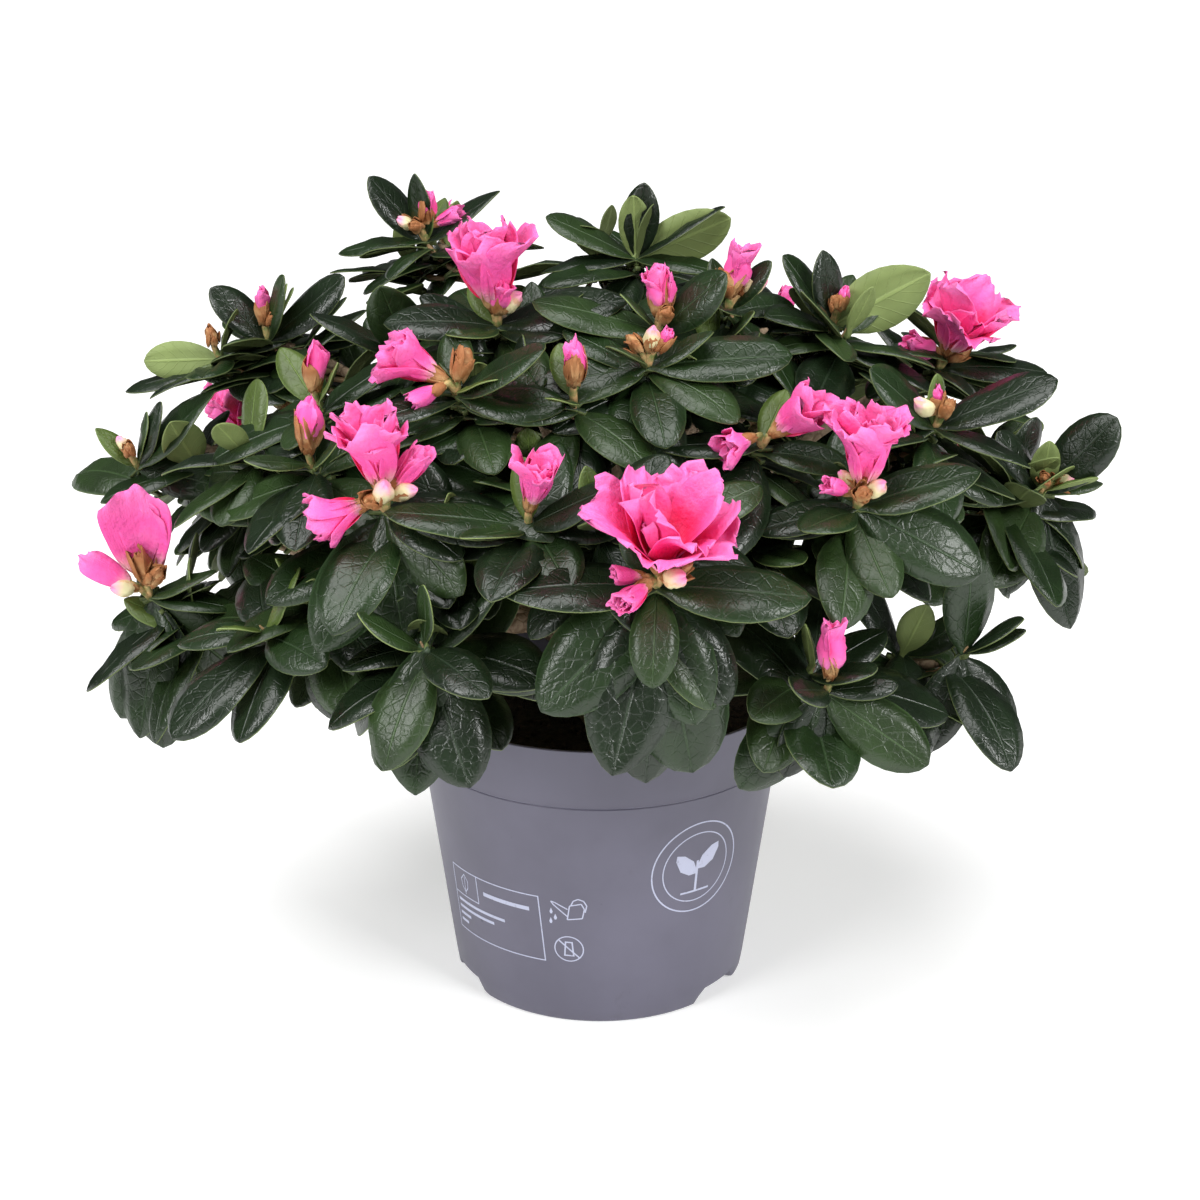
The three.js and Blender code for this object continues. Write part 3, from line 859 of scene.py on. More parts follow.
bough_stamp = tube_stamp(12, BOUGH_STEPS)
limbs = {}  # the path of the limb that serves each mass
bough_copies, bough_nodes = [], []
for number, mass in enumerate(MASSES):
    low, high = mass_box(mass)
    node = "bough_" + mass
    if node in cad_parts:
        bough_nodes.append(node)
        start = stem_axis(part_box(node)[0].z + BOUGH_START)
        radius_at = limb_radius(BOUGH_START, BOUGH_END, number)
    else:
        start = stem_axis(stem_high.z - 3 * MM)
        radius_at = limb_radius(SIDE_BOUGH_START, SIDE_BOUGH_END, number)
    limbs[mass] = arch(start, mass_middle(mass), 0.35, (high.z - low.z) * 0.2, BOUGH_STEPS)
    bough_copies.append(bend_tube(bough_stamp, limbs[mass], radius_at))
boughs = bough_stamp.lay("barked_boughs", np.array(bough_copies), [bark])
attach(boughs, "root")
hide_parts(*bough_nodes)


class Shoot:
    """A shoot's heart, where its newest leaves and its blossom stand, and which way it grows."""

    def __init__(self, mass, place, blossom, seed, listed, leaves=()):
        self.mass, self.place, self.blossom, self.leaves = mass, place, blossom, leaves
        self.listed, self.deal = listed, random.Random(seed)
        self.low_down = (cad_box[1].z - place.z) / (cad_box[1].z - POT_HEIGHT)
        lean = 0.35 + 0.35 * self.low_down
        self.hang = 0.15  # how far the old leaves hang
        if listed and (blossom or leaves):
            self.hang = 1.0 if mass in HANGING_MASSES else 0.4
        wander = Vector((self.deal.uniform(-1, 1), self.deal.uniform(-1, 1), 0)) * 0.12
        self.axis = (outward(place) * lean + Vector((0, 0, 1)) + wander).normalized()
        self.facing = 0 if listed else math.degrees(math.atan2(place.x, -place.y))

    def stand(self, bearing, lean):
        """The axis and the foot of a flower that leans to a bearing."""
        tilt = math.radians(lean)
        level = bearing_direction(bearing + self.facing)
        axis = (level * math.sin(tilt) + Vector((0, 0, math.cos(tilt)))).normalized()
        sideways = axis - self.axis * axis.dot(self.axis)
        foot = self.place + self.axis * 2.0 * MM + axis * 2.5 * MM + sideways * 2.5 * MM
        return axis, foot


def more_shoots(mass):
    """How many shoots a mass gets beside its listed ones."""
    if mass not in SHOOTS:
        return 6
    return 1 if mass in OPEN_MASSES else 3 if mass in ("right", "right_low") else 2


def shoots_of(mass, number):
    """The listed shoots of a mass and some more round it, by a seeded rule."""
    low, high = mass_box(mass)
    span, middle, out = high - low, mass_middle(mass), outward(mass_middle(mass))
    made = []
    for k, (across, deep, up, blossom, leaves) in enumerate(SHOOTS.get(mass, ())):
        place = low + Vector((across * span.x, deep * span.y, up * span.z))
        made.append(Shoot(mass, place, blossom, 100 * number + k, True, leaves))
    deal = random.Random(SHOOT_SEED + number)
    side = Vector((-out.y, out.x, 0)) if out.length > 0.3 else Vector((1, 0, 0))
    wanted = more_shoots(mass)
    for k in range(wanted):
        aim = (k - (wanted - 1) / 2) * ROW_WIDTH / wanted + deal.uniform(-0.12, 0.12)
        share = side * aim + out * deal.uniform(-0.15, 0.25)
        share += Vector((0, 0, deal.uniform(-0.25, 0.2)))
        if mass not in SHOOTS:  # every second one stands further in and higher
            inner = k % 2 * (1 if "low" not in mass else 0.5)
            share += Vector((0, 0, INNER_RISE)) * inner - out * INNER_STEP * inner
        elif middle.y > 0:
            share += Vector((0, 0.5, -0.1))
        else:
            share = share * 1.1 - out * 0.3 - Vector((0, 0, 0.2))
        place = middle + Vector(a * b for a, b in zip(share, span / 2))
        if "low" in mass:
            place.z += LOW_MASS_LIFT * span.z
        blossom = []
        if place.y > HIDDEN_FROM and k % 2 == 0:
            behind = place.y > OPEN_FLOWERS_BEHIND and not mass.startswith("crown")
            opens = place.z < OPEN_FLOWERS_UNDER or behind
            blossom = deal.choice(OTHER_BLOSSOM if opens else OTHER_BUDS)
        made.append(Shoot(mass, place, blossom, 100 * number + 50 + k, False))
    return made


shoots = [shoot for number, mass in enumerate(MASSES) for shoot in shoots_of(mass, number)]
twig_stamp = tube_stamp(7, TWIG_STEPS)
twig_copies = []
for number, shoot in enumerate(shoots):
    limb = limbs[shoot.mass]
    start = limb[int(BOUGH_STEPS * shoot.deal.uniform(0.62, 0.86))]
    reach = (shoot.place - start).length
    first = start + (limb[-1] - limb[-4]).normalized() * reach * 0.35
    second = shoot.place - shoot.axis * reach * 0.4
    shoot.twig = curve(start, first, second, shoot.place, TWIG_STEPS)
    radius_at = limb_radius(TWIG_START, TWIG_END, number)
    twig_copies.append(bend_tube(twig_stamp, shoot.twig, radius_at))
twigs = twig_stamp.lay("shoot_twigs", np.array(twig_copies), [twig_skin])
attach(twigs, "root")

# ---------------------------------------------------------------------------------------------
# The leaves: evergreen, leathery and glossy, up to 40 mm long, dark green and puckered between the
# veins above and pale green beneath, in a whorl round each shoot's heart. The newest stand up, the
# oldest and largest spread and hang.

LEAF_ROWS, LEAF_COLUMNS = 13, 4
LEAF_THICK = 0.35 * MM
STALK_HALF = 0.75 * MM
STALK_SHARE = 0.12  # the leaf's stalk, as a share of its blade's length
VEINS = 5.5  # pairs of side veins
LEAF_TOPS = {  # colour and gloss
    "leaf_dark": ((0.0065, 0.0140, 0.0052), 0.26),
    "leaf_deep": ((0.010, 0.024, 0.006), 0.29),
    "leaf_middle": ((0.016, 0.034, 0.008), 0.33),
    "leaf_young": ((0.070, 0.110, 0.020), 0.40),
}
LEAF_UNDERS = {"leaf_under": (0.115, 0.150, 0.050), "leaf_under_young": (0.20, 0.26, 0.085)}
DARK, DEEP, MIDDLE, YOUNG, UNDER, UNDER_YOUNG = range(6)  # the finishes in that order
NEXT_TURN = math.radians(137.5)  # from each leaf on a shoot to the next
LONGEST, LONGEST_GAIN = 31 * MM, 10 * MM  # of a shoot's leaves, and the gain down to the rim
BREADTH, BREADTH_GAIN = 0.47, 0.08  # the same, as a share of length
BUD_ROOM, BARE_ROOM = 52, 28  # degrees from the axis to the newest leaves, round a bud or none
OLDEST_SPREAD, HANGING_SPREAD = 98, 34  # degrees to the oldest leaves, and more where they hang
LOWEST_SHARE = 0.15  # how high in its mass's box the lowest leaf tip of a shoot may be


def leaf_top_finish(name, colour, gloss):
    finish = Finish(name, Specular_IOR_Level=0.47)
    _, along, across = finish.chart()
    off = abs(across - 0.5) * 2
    ribs = abs(((along * VEINS - off * 1.7) * math.pi).sine())
    vein = 1 - ribs.between(0.0, 0.12)
    midrib = (1 - off.between(0.015, 0.06)) * (1 - along.between(0.75, 1.0) * 0.6)
    # The pale edge is partly the fine hairs' own colour and partly a painted highlight for the
    # light that those hairs catch.
    margin_hairs_and_highlight = off.between(0.92, 1.0)
    foot = 1 - along.between(0.0, 0.07)
    place = finish.place()
    cloud = finish.noise(place, 60, detail=3)
    lines = (midrib * 0.6 + vein * 0.10 + margin_hairs_and_highlight * 0.6 + foot).least(1.0)
    pale = tuple(min(1, c * 3.2 + 0.015) for c in colour)
    puckers = ribs.between(0.0, 0.35) * (1 - off * off) * 0.13
    puckers += finish.cells(place, 330.0).between(0.0, 0.10) * 0.13
    puckers += finish.cells(place, 760.0).between(0.0, 0.2) * 0.04
    fine, swell = finish.noise(place, 900, detail=3), finish.noise(place, 170, detail=2)
    return finish.feed(
        Base_Color=finish.mix(lines * 0.6, finish.clouded(cloud, colour, 0.75, 1.25), pale),
        Roughness=gloss + 0.10 * cloud + 0.12 * lines,
        Normal=finish.bump(puckers - midrib * 0.6 + fine * 0.05 + swell * 0.6, 0.75, 0.0006),
    )


def leaf_under_finish(name, colour):
    finish = Finish(name, Specular_IOR_Level=0.35)
    _, along, across = finish.chart()
    off = abs(across - 0.5) * 2
    ribs = abs(((along * 7.5 - off * 1.9) * math.pi).sine())
    cloud = finish.noise(finish.place(), 90, detail=4)
    lines = (1 - off.between(0.03, 0.1) + (1 - ribs.between(0.0, 0.2)) * 0.6).least(1.0)
    pale = tuple(min(1, c * 1.5) for c in colour)
    return finish.feed(
        Base_Color=finish.mix(lines * 0.5, finish.clouded(cloud, colour, 0.85, 1), pale),
        Roughness=0.5 + 0.12 * cloud,
        Normal=finish.bump(lines, 0.5, 0.0005),
    )


def leaf_stamp():
    """A thin flat blade: x runs from the foot of its stalk to its tip, y from edge to edge."""
    bm = bmesh.new()
    bmesh.ops.create_grid(bm, x_segments=LEAF_ROWS, y_segments=LEAF_COLUMNS, size=1)
    bmesh.ops.solidify(bm, geom=bm.faces[:] + bm.edges[:] + bm.verts[:], thickness=0.2)
    for face in bm.faces:
        face.normal_update()
        level = sum(vert.co.z for vert in face.verts) / len(face.verts)
        rim = abs(face.normal.z) < 0.5
        face.material_index = 1 if rim or level < -0.1 else 0
    return Stamp(bm)


leaf_shape = leaf_stamp()
leaf_row = (leaf_shape.points[:, 0] + 1) / 2
leaf_along = 0.25 * leaf_row + 0.375 * (1 - np.cos(math.pi * leaf_row))
leaf_along = leaf_along * (1 + STALK_SHARE) - STALK_SHARE  # under 0 is the stalk
leaf_across = leaf_shape.points[:, 1]
leaf_under = leaf_shape.points[:, 2] < -0.1
leaf_chart = np.stack([leaf_along.clip(0, 1), (leaf_across + 1) / 2], axis=1)


class Leaf:
    """One leaf: where its stalk starts, which way it points and faces, and how it is shaped."""

    def __init__(self, foot, points, faces, length, width, deal, bend, young=False):
        points = points.normalized()
        faces = (faces - points * faces.dot(points)).normalized()
        self.foot, self.points, self.faces, self.side = foot, points, faces, faces.cross(points)
        self.length, self.width, self.bend = length, width, bend
        self.fold = deal.uniform(-0.02, 0.16)
        self.bulge = deal.uniform(0.10, 0.20)
        self.curl = deal.uniform(0.02, 0.14)
        self.twist = deal.uniform(-0.35, 0.35)
        self.wave = deal.uniform(0.0, 0.05)
        self.phase = deal.uniform(0, 6.28)
        self.blunt = deal.uniform(0.56, 0.74)
        shade = deal.random()
        if young:
            self.slots = (YOUNG if shade < 0.6 else MIDDLE, UNDER_YOUNG)
        else:
            self.slots = (DARK if shade < 0.40 else DEEP if shade < 0.82 else MIDDLE, UNDER)


def blade_points(leaves):
    """Every leaf's points at once: an outline from its length and width, bent along its midrib."""
    def column(name):
        return np.array([getattr(leaf, name) for leaf in leaves])[:, None]

    def triple(name):
        return np.array([getattr(leaf, name) for leaf in leaves])[:, None, :]

    length, width, bend, blunt = column("length"), column("width"), column("bend"), column("blunt")
    along, across = leaf_along[None, :], leaf_across[None, :]
    blade = along.clip(0, 1)
    rise = 0.74  # how fast the blade widens from its foot
    widest = rise / (rise + blunt)
    full = widest**rise * (1 - widest) ** blunt
    half = width / 2 * blade**rise * (1 - blade) ** blunt / full
    stalk = STALK_HALF * (1 - 0.6 * blade)
    half = np.maximum(half, stalk)
    angle = bend * along
    safe = np.where(abs(bend) < 0.02, 0.02, bend)
    forward = length * np.sin(safe * along) / safe
    down = length * (1 - np.cos(safe * along)) / safe
    edge = abs(across)
    between = 4 * edge * (1 - edge)  # 0 at the midrib and at the edge
    phase = column("phase")
    shape = column("fold") * edge + column("bulge") * between - column("curl") * edge**4
    wave = column("wave") * np.sin(8.5 * along + phase + np.sign(across) * 1.4) * edge**1.5
    pucker = 0.05 * np.sin(15 * along + 2 * phase - 2 * edge) * between
    thick = np.where(along < 0.02, 2 * stalk, LEAF_THICK)
    height = half * (shape + wave + pucker) - leaf_under[None, :] * thick
    turn = column("twist") * along
    lateral = half * across * np.cos(turn) - height * np.sin(turn)
    height = half * across * np.sin(turn) + height * np.cos(turn)
    points, faces, side = triple("points"), triple("faces"), triple("side")
    normal = faces * np.cos(angle)[..., None] + points * np.sin(angle)[..., None]
    return (
        triple("foot") + points * forward[..., None] - faces * down[..., None]
        + side * lateral[..., None] + normal * height[..., None]
    )


def listed_leaf(shoot, bearing, lean, size, pale=False):
    """An outstanding leaf; a pale leaf turns its underside to the front."""
    deal, length = shoot.deal, size * MM
    tilt = math.radians(lean)
    points = bearing_direction(bearing) * math.sin(tilt) + Vector((0, 0, math.cos(tilt)))
    if pale:
        faces = Vector((0, 1, -0.2))
    elif lean > 100:
        faces = Vector((0, -0.9, 0.4)) + outward(shoot.place) * 0.5
    else:
        faces = Vector((0, -0.6 if lean < 60 else -0.15, 1)) + outward(shoot.place) * 0.3
    sunk = deal.uniform(2, 6) if lean > 120 else 2.5
    foot = shoot.place - shoot.axis * sunk * MM
    flattest, fullest = (-0.1, 0.15) if lean < 70 else (0.05, 0.35) if lean < 120 else (-0.25, 0.1)
    bend = deal.uniform(flattest, fullest)
    narrow = 0.42 if size < 24 and not pale else 0.52
    width = length * narrow * deal.uniform(0.94, 1.08)
    made = Leaf(foot, points, faces, length, width, deal, bend, pale or size < 20)
    if lean > 140:
        made.slots = (deal.choice((DARK, DARK, DEEP)), UNDER)
    return made


def kept_above(lowest, foot, points, length, bend):
    """A leaf's direction, raised where its tip would hang below the lowest leaves of its mass."""
    points = points.normalized()
    room = min(0.99, (foot.z - lowest) / length - 0.4 * max(bend, 0))
    if points.z > -room:
        return points
    level = Vector((points.x, points.y, 0)) + outward(foot) * 0.1
    return level.normalized() * math.sqrt(1 - room**2) - Vector((0, 0, room))


FLOWER_REACH = {  # how far each kind of flower stands from its shoot's heart, in mm
    "open_flower": 24, "wide_flower": 26, "trumpet": 20, "fan_flower": 23, "upright_petals": 28,
    "nodding_flower": 17,
}


def flower_spans():
    """Each flower's middle line, from its throat to its rim, and its half width."""
    spans = []
    for shoot in shoots:
        for kind, bearing, lean, size in shoot.blossom:
            if kind in FLOWER_REACH:
                axis, foot = shoot.stand(bearing, lean)
                reach = FLOWER_REACH[kind] * size * MM
                spans.append((foot + axis * 0.35 * reach, foot + axis * reach, 0.36 * reach))
    return spans


def through_a_flower(leaf, spans):
    """Whether a leaf's midrib or edges would pass through a flower."""
    for share in (0.3, 0.5, 0.7, 0.9):
        sag = leaf.length * leaf.bend * share**2 / 2
        middle = leaf.foot + leaf.points * leaf.length * share - leaf.faces * sag
        for across in (-0.35, 0, 0.35):
            spot = middle + leaf.side * leaf.width * across
            for start, end, reach in spans:
                line = end - start
                along = max(0.0, min(1.0, (spot - start).dot(line) / line.length_squared))
                if (spot - start.lerp(end, along)).length < reach:
                    return True
    return False


def leaf_counts(shoot):
    """How many leaves a shoot has in its whorl and lower down its twig, beside the listed ones."""
    if shoot.listed and shoot.mass in BARE_MASSES:
        return 2, 1
    if shoot.listed:
        whorl_count = max(4, shoot.deal.randint(8, 9) - len(shoot.leaves))
        return whorl_count, shoot.deal.randint(3, 4)
    return shoot.deal.randint(6, 8), shoot.deal.randint(2, 4)


def leaves_of(shoot):
    """A whorl round the heart, and older leaves scattered down the twig under it."""
    deal, axis, low_down = shoot.deal, shoot.axis, shoot.low_down
    out = outward(shoot.place)
    around = axis.orthogonal().normalized()
    other = axis.cross(around)
    turn = deal.uniform(0, 6.28)
    largest = LONGEST + LONGEST_GAIN * low_down
    broad = BREADTH + BREADTH_GAIN * low_down
    whorl_count, lower_count = leaf_counts(shoot)
    inmost = BUD_ROOM if shoot.blossom else BARE_ROOM
    widest = OLDEST_SPREAD + HANGING_SPREAD * low_down * shoot.hang
    mass_low, mass_high = mass_box(shoot.mass)
    lowest = mass_low.z + LOWEST_SHARE * (mass_high.z - mass_low.z)
    leaves = [listed_leaf(shoot, *leaf) for leaf in shoot.leaves]
    for k in range(whorl_count):
        age = k / (whorl_count - 1)
        turn += NEXT_TURN + deal.uniform(-0.25, 0.25)
        spread = math.radians(inmost + (widest - inmost) * age**0.8 + deal.uniform(-9, 9))
        ring = around * math.cos(turn) + other * math.sin(turn)
        points = axis * math.cos(spread) + ring * math.sin(spread)
        points.z -= (0.1 + shoot.hang * low_down) * age
        length = largest * (0.52 + 0.5 * min(1, age * 1.5)) * deal.uniform(0.88, 1.1)
        width = length * broad * deal.uniform(0.9, 1.14)
        faces = axis * 0.7 + Vector((0, 0, 0.3)) + out * 0.25 * age
        foot = shoot.place - axis * (1.5 + 9 * age) * MM + ring * 0.8 * MM
        if age < 0.25:
            bend = deal.uniform(-0.25, 0.15)
        else:
            bend = deal.uniform(0.2, 0.95) * (0.5 + 0.5 * low_down)
        points = kept_above(lowest, foot, points, length, bend)
        young = age < 0.2 and deal.random() < 0.7
        leaves.append(Leaf(foot, points, faces, length, width, deal, bend, young))
    for k in range(lower_count):
        step = TWIG_STEPS - 1 - int(k * 5 / lower_count)
        foot = shoot.twig[step].lerp(shoot.twig[step - 1], deal.random())
        along = (shoot.twig[step] - shoot.twig[step - 1]).normalized()
        turn += NEXT_TURN + deal.uniform(-0.3, 0.3)
        ring = (around * math.cos(turn) + other * math.sin(turn) + out * 0.4).normalized()
        points = ring + along * deal.uniform(-0.1, 0.5) - Vector((0, 0, deal.uniform(0, 0.5)))
        faces = Vector((0, 0, 1)) + out * 0.3
        length = largest * deal.uniform(0.75, 1.05)
        width = length * broad * deal.uniform(0.9, 1.1)
        bend = deal.uniform(0.1, 0.8)
        points = kept_above(lowest, foot, points, length, bend)
        leaves.append(Leaf(foot, points, faces, length, width, deal, bend))
    return leaves


leaf_finishes = [leaf_top_finish(name, *look) for name, look in LEAF_TOPS.items()]
leaf_finishes += [leaf_under_finish(name, colour) for name, colour in LEAF_UNDERS.items()]
flowers = flower_spans()
for region in ("front", "left", "right", "back", "crown"):
    masses = [mass for mass in MASSES if mass.startswith(region)]
    leaves = [leaf for shoot in shoots if shoot.mass in masses for leaf in leaves_of(shoot)]
    leaves = [leaf for leaf in leaves if not through_a_flower(leaf, flowers)]
    slots = [leaf.slots for leaf in leaves]
    points = blade_points(leaves)
    piece = leaf_shape.lay(region + "_leaves", points, leaf_finishes, slots, leaf_chart)
    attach(piece, "root")
    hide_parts(*["foliage_" + mass for mass in masses])

# ---------------------------------------------------------------------------------------------
# The blossom: double pink flowers with ruffled petals, from wide open down to furled, and pink and
# cream buds, each held in papery brown scales with a short green stalk.

PETAL_THICK = 0.25 * MM
PETAL_THROAT = (0.84, 0.020, 0.10)
PETAL_PINK = (0.90, 0.095, 0.37)
PETAL_PALE = (0.93, 0.24, 0.55)
PETAL_FOOT = (0.90, 0.55, 0.55)
BUD_CREAM = (0.72, 0.66, 0.38)
SCALE_BROWN = (0.33, 0.13, 0.045)
SCALE_TAN = (0.60, 0.37, 0.17)
STALK_GREEN = (0.16, 0.21, 0.06)


def petal_stamp(rows, columns):
    """A thin flat petal from its foot at x -1 to its tip at x 1, its outer side as second kind."""
    bm = bmesh.new()
    bmesh.ops.create_grid(bm, x_segments=rows, y_segments=columns, size=1)
    bmesh.ops.solidify(bm, geom=bm.faces[:] + bm.edges[:] + bm.verts[:], thickness=0.2)
    for face in bm.faces:
        level = sum(vert.co.z for vert in face.verts) / len(face.verts)
        face.material_index = 0 if level > -0.02 else 1
    return Stamp(bm)


petal_shape = petal_stamp(11, 20)
small_petal_shape = petal_stamp(8, 8)
scale_shape = petal_stamp(5, 4)


def petal(foot, points, faces, length, width, bend, cup, ruffle, phase, tip=0.34):
    """One petal or scale: it grows from its foot along points, and its inner side faces faces."""
    points = points.normalized()
    faces = (faces - points * faces.dot(points)).normalized()
    return (*foot, *points, *faces, length, width, bend, cup, ruffle, phase, tip)


def petal_points(stamp, petals):
    """Every petal's points at once: bend leans it out, cup lifts its edges, ruffle waves them."""
    table = np.array(petals)[:, None, :]
    foot, points, faces = table[..., 0:3], table[..., 3:6], table[..., 6:9]
    length, width, bend, cup, ruffle, phase, tip = (table[..., k] for k in range(9, 16))
    side = np.cross(faces, points)
    along = ((stamp.points[:, 0] + 1) / 2)[None, :]
    across = stamp.points[:, 1][None, :]
    under = (stamp.points[:, 2] < -0.1)[None, :]
    edge = abs(across)
    widest = 0.62 / (0.62 + tip)
    full = widest**0.62 * (1 - widest) ** tip
    half = width / 2 * (0.14 + 0.86 * along**0.62 * (1 - 0.985 * along) ** tip / full)
    angle = bend * along**1.4
    safe = np.where(abs(bend) < 0.02, 0.02, bend)
    notch = 0.07 * np.cos(2.9 * across + phase) + 0.03 * np.sin(7.5 * across + 3 * phase)
    reach = length * (1 + notch * along**3)
    forward = reach * np.sin(safe * along) / safe
    out = reach * (1 - np.cos(safe * along)) / safe
    frill = np.sin(4.1 * across + phase) * (0.3 + 0.7 * edge)
    frill = frill + 0.45 * np.sin(7.6 * across - 2 * phase + 4 * along)
    frill = frill + 0.34 * np.sin(12 * across + 4 * phase) * along**3
    frill = frill + 0.30 * np.sin(19 * across + 5 * phase) * along**5
    roll = 0.7 * np.sin(6.5 * along + 3 * phase + 2.0 * across) * along
    height = half * cup * across**2 + width * ruffle * (frill * along**1.8 + roll)
    height = height - under * PETAL_THICK
    normal = faces * np.cos(angle)[..., None] + points * np.sin(angle)[..., None]
    lateral = half * across * (1 - 0.12 * cup * edge) * (1 - 0.9 * ruffle)
    return (
        foot + points * forward[..., None] - faces * out[..., None]
        + side * lateral[..., None] + normal * height[..., None]
    )


def bud_stamp():
    bm = bmesh.new()
    bmesh.ops.create_uvsphere(bm, u_segments=20, v_segments=12, radius=1)
    return Stamp(bm)


bud_shape = bud_stamp()
stalk_shape = tube_stamp(7, 4)
bud_rise = (bud_shape.points[:, 2] + 1) / 2
bud_turn = np.arctan2(bud_shape.points[:, 1], bud_shape.points[:, 0])
bud_ring = np.hypot(bud_shape.points[:, 0], bud_shape.points[:, 1])


def bud(foot, axis, length, radius, furrow, phase):
    """A furled bud's points: an egg with a crumpled tip, twisted where its petals overlap."""
    axis = axis.normalized()
    around = axis.orthogonal().normalized()
    other = axis.cross(around)
    folds = np.sin(3 * bud_turn + 5 * bud_rise + phase)
    folds = folds + 0.5 * np.sin(7 * bud_turn - 8 * bud_rise + 2 * phase)
    crumple = np.sin(5 * bud_turn + 19 * bud_rise + 3 * phase) * bud_rise
    ring = radius * bud_ring * (1.06 - 0.22 * bud_rise) * (1 + furrow * (folds + 0.7 * crumple))
    rise = length * (bud_rise + 0.9 * furrow * bud_rise**4 * np.sin(2 * bud_turn + phase))
    lean = 0.06 * length * np.sin(3 * bud_rise)
    return (
        np.array(foot) + np.outer(rise, axis) + np.outer(ring * np.cos(bud_turn) + lean, around)
        + np.outer(ring * np.sin(bud_turn), other)
    )


petals, small_petals, scales, stalks = [], [], [], []
pink_buds, cream_buds, brown_buds = [], [], []


def ring_about(axis, turn):
    around = axis.orthogonal().normalized()
    return around * math.cos(turn) + axis.cross(around) * math.sin(turn)


def scale_ring(foot, axis, unit, deal, count, length, spread, broad=0.62, away=1.0):
    """Papery bud scales that clasp the foot of a bud or flower."""
    start = deal.uniform(0, 6.28)
    for k in range(count):
        turn = start + 2 * math.pi * k / count + deal.uniform(-0.25, 0.25)
        ring = ring_about(axis, turn)
        lean = math.radians(spread + deal.uniform(-10, 12))
        points = axis * math.cos(lean) + ring * math.sin(lean)
        long = length * unit * deal.uniform(0.75, 1.12)
        wide = long * broad * deal.uniform(0.85, 1.2)
        bend = deal.uniform(-1.1, -0.3)
        scales.append(petal(
            foot + ring * away * MM, points, -ring + axis * 0.2, long, wide,
            bend, 0.55, 0.02, deal.uniform(0, 6.28), 0.5))


def whorl(
        among, foot, axis, unit, deal, count, lean, length, width, bend, cup, ruffle,
        loose=8, start=None):
    """A ring of petals leaning out from the flower's axis."""
    start = deal.uniform(0, 6.28) if start is None else start
    for k in range(count):
        turn = start + 2 * math.pi * (k + deal.uniform(-0.18, 0.18)) / count
        ring = ring_about(axis, turn)
        out = math.radians(lean + deal.uniform(-loose, loose))
        points = axis * math.cos(out) + ring * math.sin(out)
        faces = -ring * math.cos(out) + axis * math.sin(out)
        long = length * unit * deal.uniform(0.8, 1.12)
        wide = width * unit * deal.uniform(0.85, 1.15)
        curve_out, wave = bend * deal.uniform(0.6, 1.4), ruffle * deal.uniform(0.7, 1.3)
        among.append(petal(
            foot + ring * 1.2 * MM, points, faces, long, wide,
            curve_out, cup, wave, deal.uniform(0, 6.28), 0.26))


def stalk_to(shoot, foot, axis):
    """The short green stalk from the shoot's heart to the foot of a flower."""
    start = shoot.place - shoot.axis * 3 * MM
    knee = foot - axis * 3 * MM
    path = [start, start.lerp(knee, 0.5), knee, knee.lerp(foot, 0.5), foot + axis * 0.8 * MM]
    stalks.append(bend_tube(stalk_shape, path, lambda share, angle: (1.2 - 0.2 * share) * MM))


# What each kind is made of, in the order in which it's built: what its petals join, its rings of
# scales (how many, length, lean, breadth as a share of length, distance from the axis), its furled
# heart (what it joins, length, radius, depth of its furrows, how far it's sunk) and its whorls of
# petals (how many, lean, length, width, bend, cup, ruffle, how loose in degrees, where the first
# one stands). Lengths are in mm at full size and leans are in degrees.
BLOSSOM = {
    "open_flower": (petals, [(6, 10, 28)], None, [
        (6, 25, 25, 24, 0.72, 0.40, 0.075), (5, 17, 24, 19, 0.55, 0.45, 0.095),
        (2, 9, 18, 12, 0.40, 0.5, 0.13)]),
    "wide_flower": (petals, [(6, 11, 28)], None, [
        (5, 28, 27, 25, 0.55, 0.35, 0.10, 10), (5, 20, 26, 19, 0.35, 0.35, 0.13, 10),
        (1, 10, 19, 12, 0.30, 0.4, 0.16)]),
    "trumpet": (petals, [(7, 11, 18)], None, [
        (5, 11, 20, 16, 0.62, 0.6, 0.065), (5, 8, 20, 13, 0.50, 0.6, 0.085),
        (3, 3, 18, 10, 0.2, 0.5, 0.10)]),
    "fan_flower": (petals, [(7, 11, 22)], None, [
        (4, 15, 24, 21, 0.40, 0.45, 0.055, 8, 0.6), (4, 8, 21, 15, 0.30, 0.6, 0.075)]),
    "nodding_flower": (small_petals, [(6, 9, 20)], None, [
        (5, 10, 18, 14, 0.40, 0.6, 0.075), (4, 5, 17, 11, 0.25, 0.6, 0.09)]),
    "half_bud": (small_petals, [(5, 8, 18)], None, [
        (5, 6, 14, 9, 0.05, 0.7, 0.06), (3, 2, 13, 7, 0.0, 0.7, 0.08)]),
    "bud": (small_petals, [(4, 10, 16, 0.8, 1.2), (5, 12.5, 14, 0.7, 1.8)],
            (pink_buds, 12.5, 3.6, 0.11, 0), [(3, 7, 13, 8, -0.35, 0.75, 0.05)]),
    "twisted_bud": (small_petals, [(4, 9, 16, 0.7), (4, 11, 14, 0.6, 1.6)],
                    (pink_buds, 12, 4.0, 0.12, 0), [(4, 6, 13.5, 8, 0.10, 0.7, 0.085)]),
    "cream_bud": (small_petals, [(4, 7.5, 16, 0.7)], (cream_buds, 9, 3.2, 0.09, 1), []),
    "brown_bud": (small_petals, [(4, 9, 10, 0.6, 1.5), (4, 7, 22, 0.6, 2.0)],
                  (brown_buds, 7.5, 2.6, 0.10, 1), []),
    "upright_petals": (petals, [(7, 11, 24)], None, []),
    "loose_petal": (petals, [], None, []),
}
# The upright petals' bearings, distance in front of the foot, lengths and widths.
UPRIGHT_PETALS = ((0, 1, 26, 21), (60, 3, 24, 17), (-70, 2.5, 20, 14))
SCALES_UNDER = 2.5  # mm from the foot of the petals down to the foot of the scales


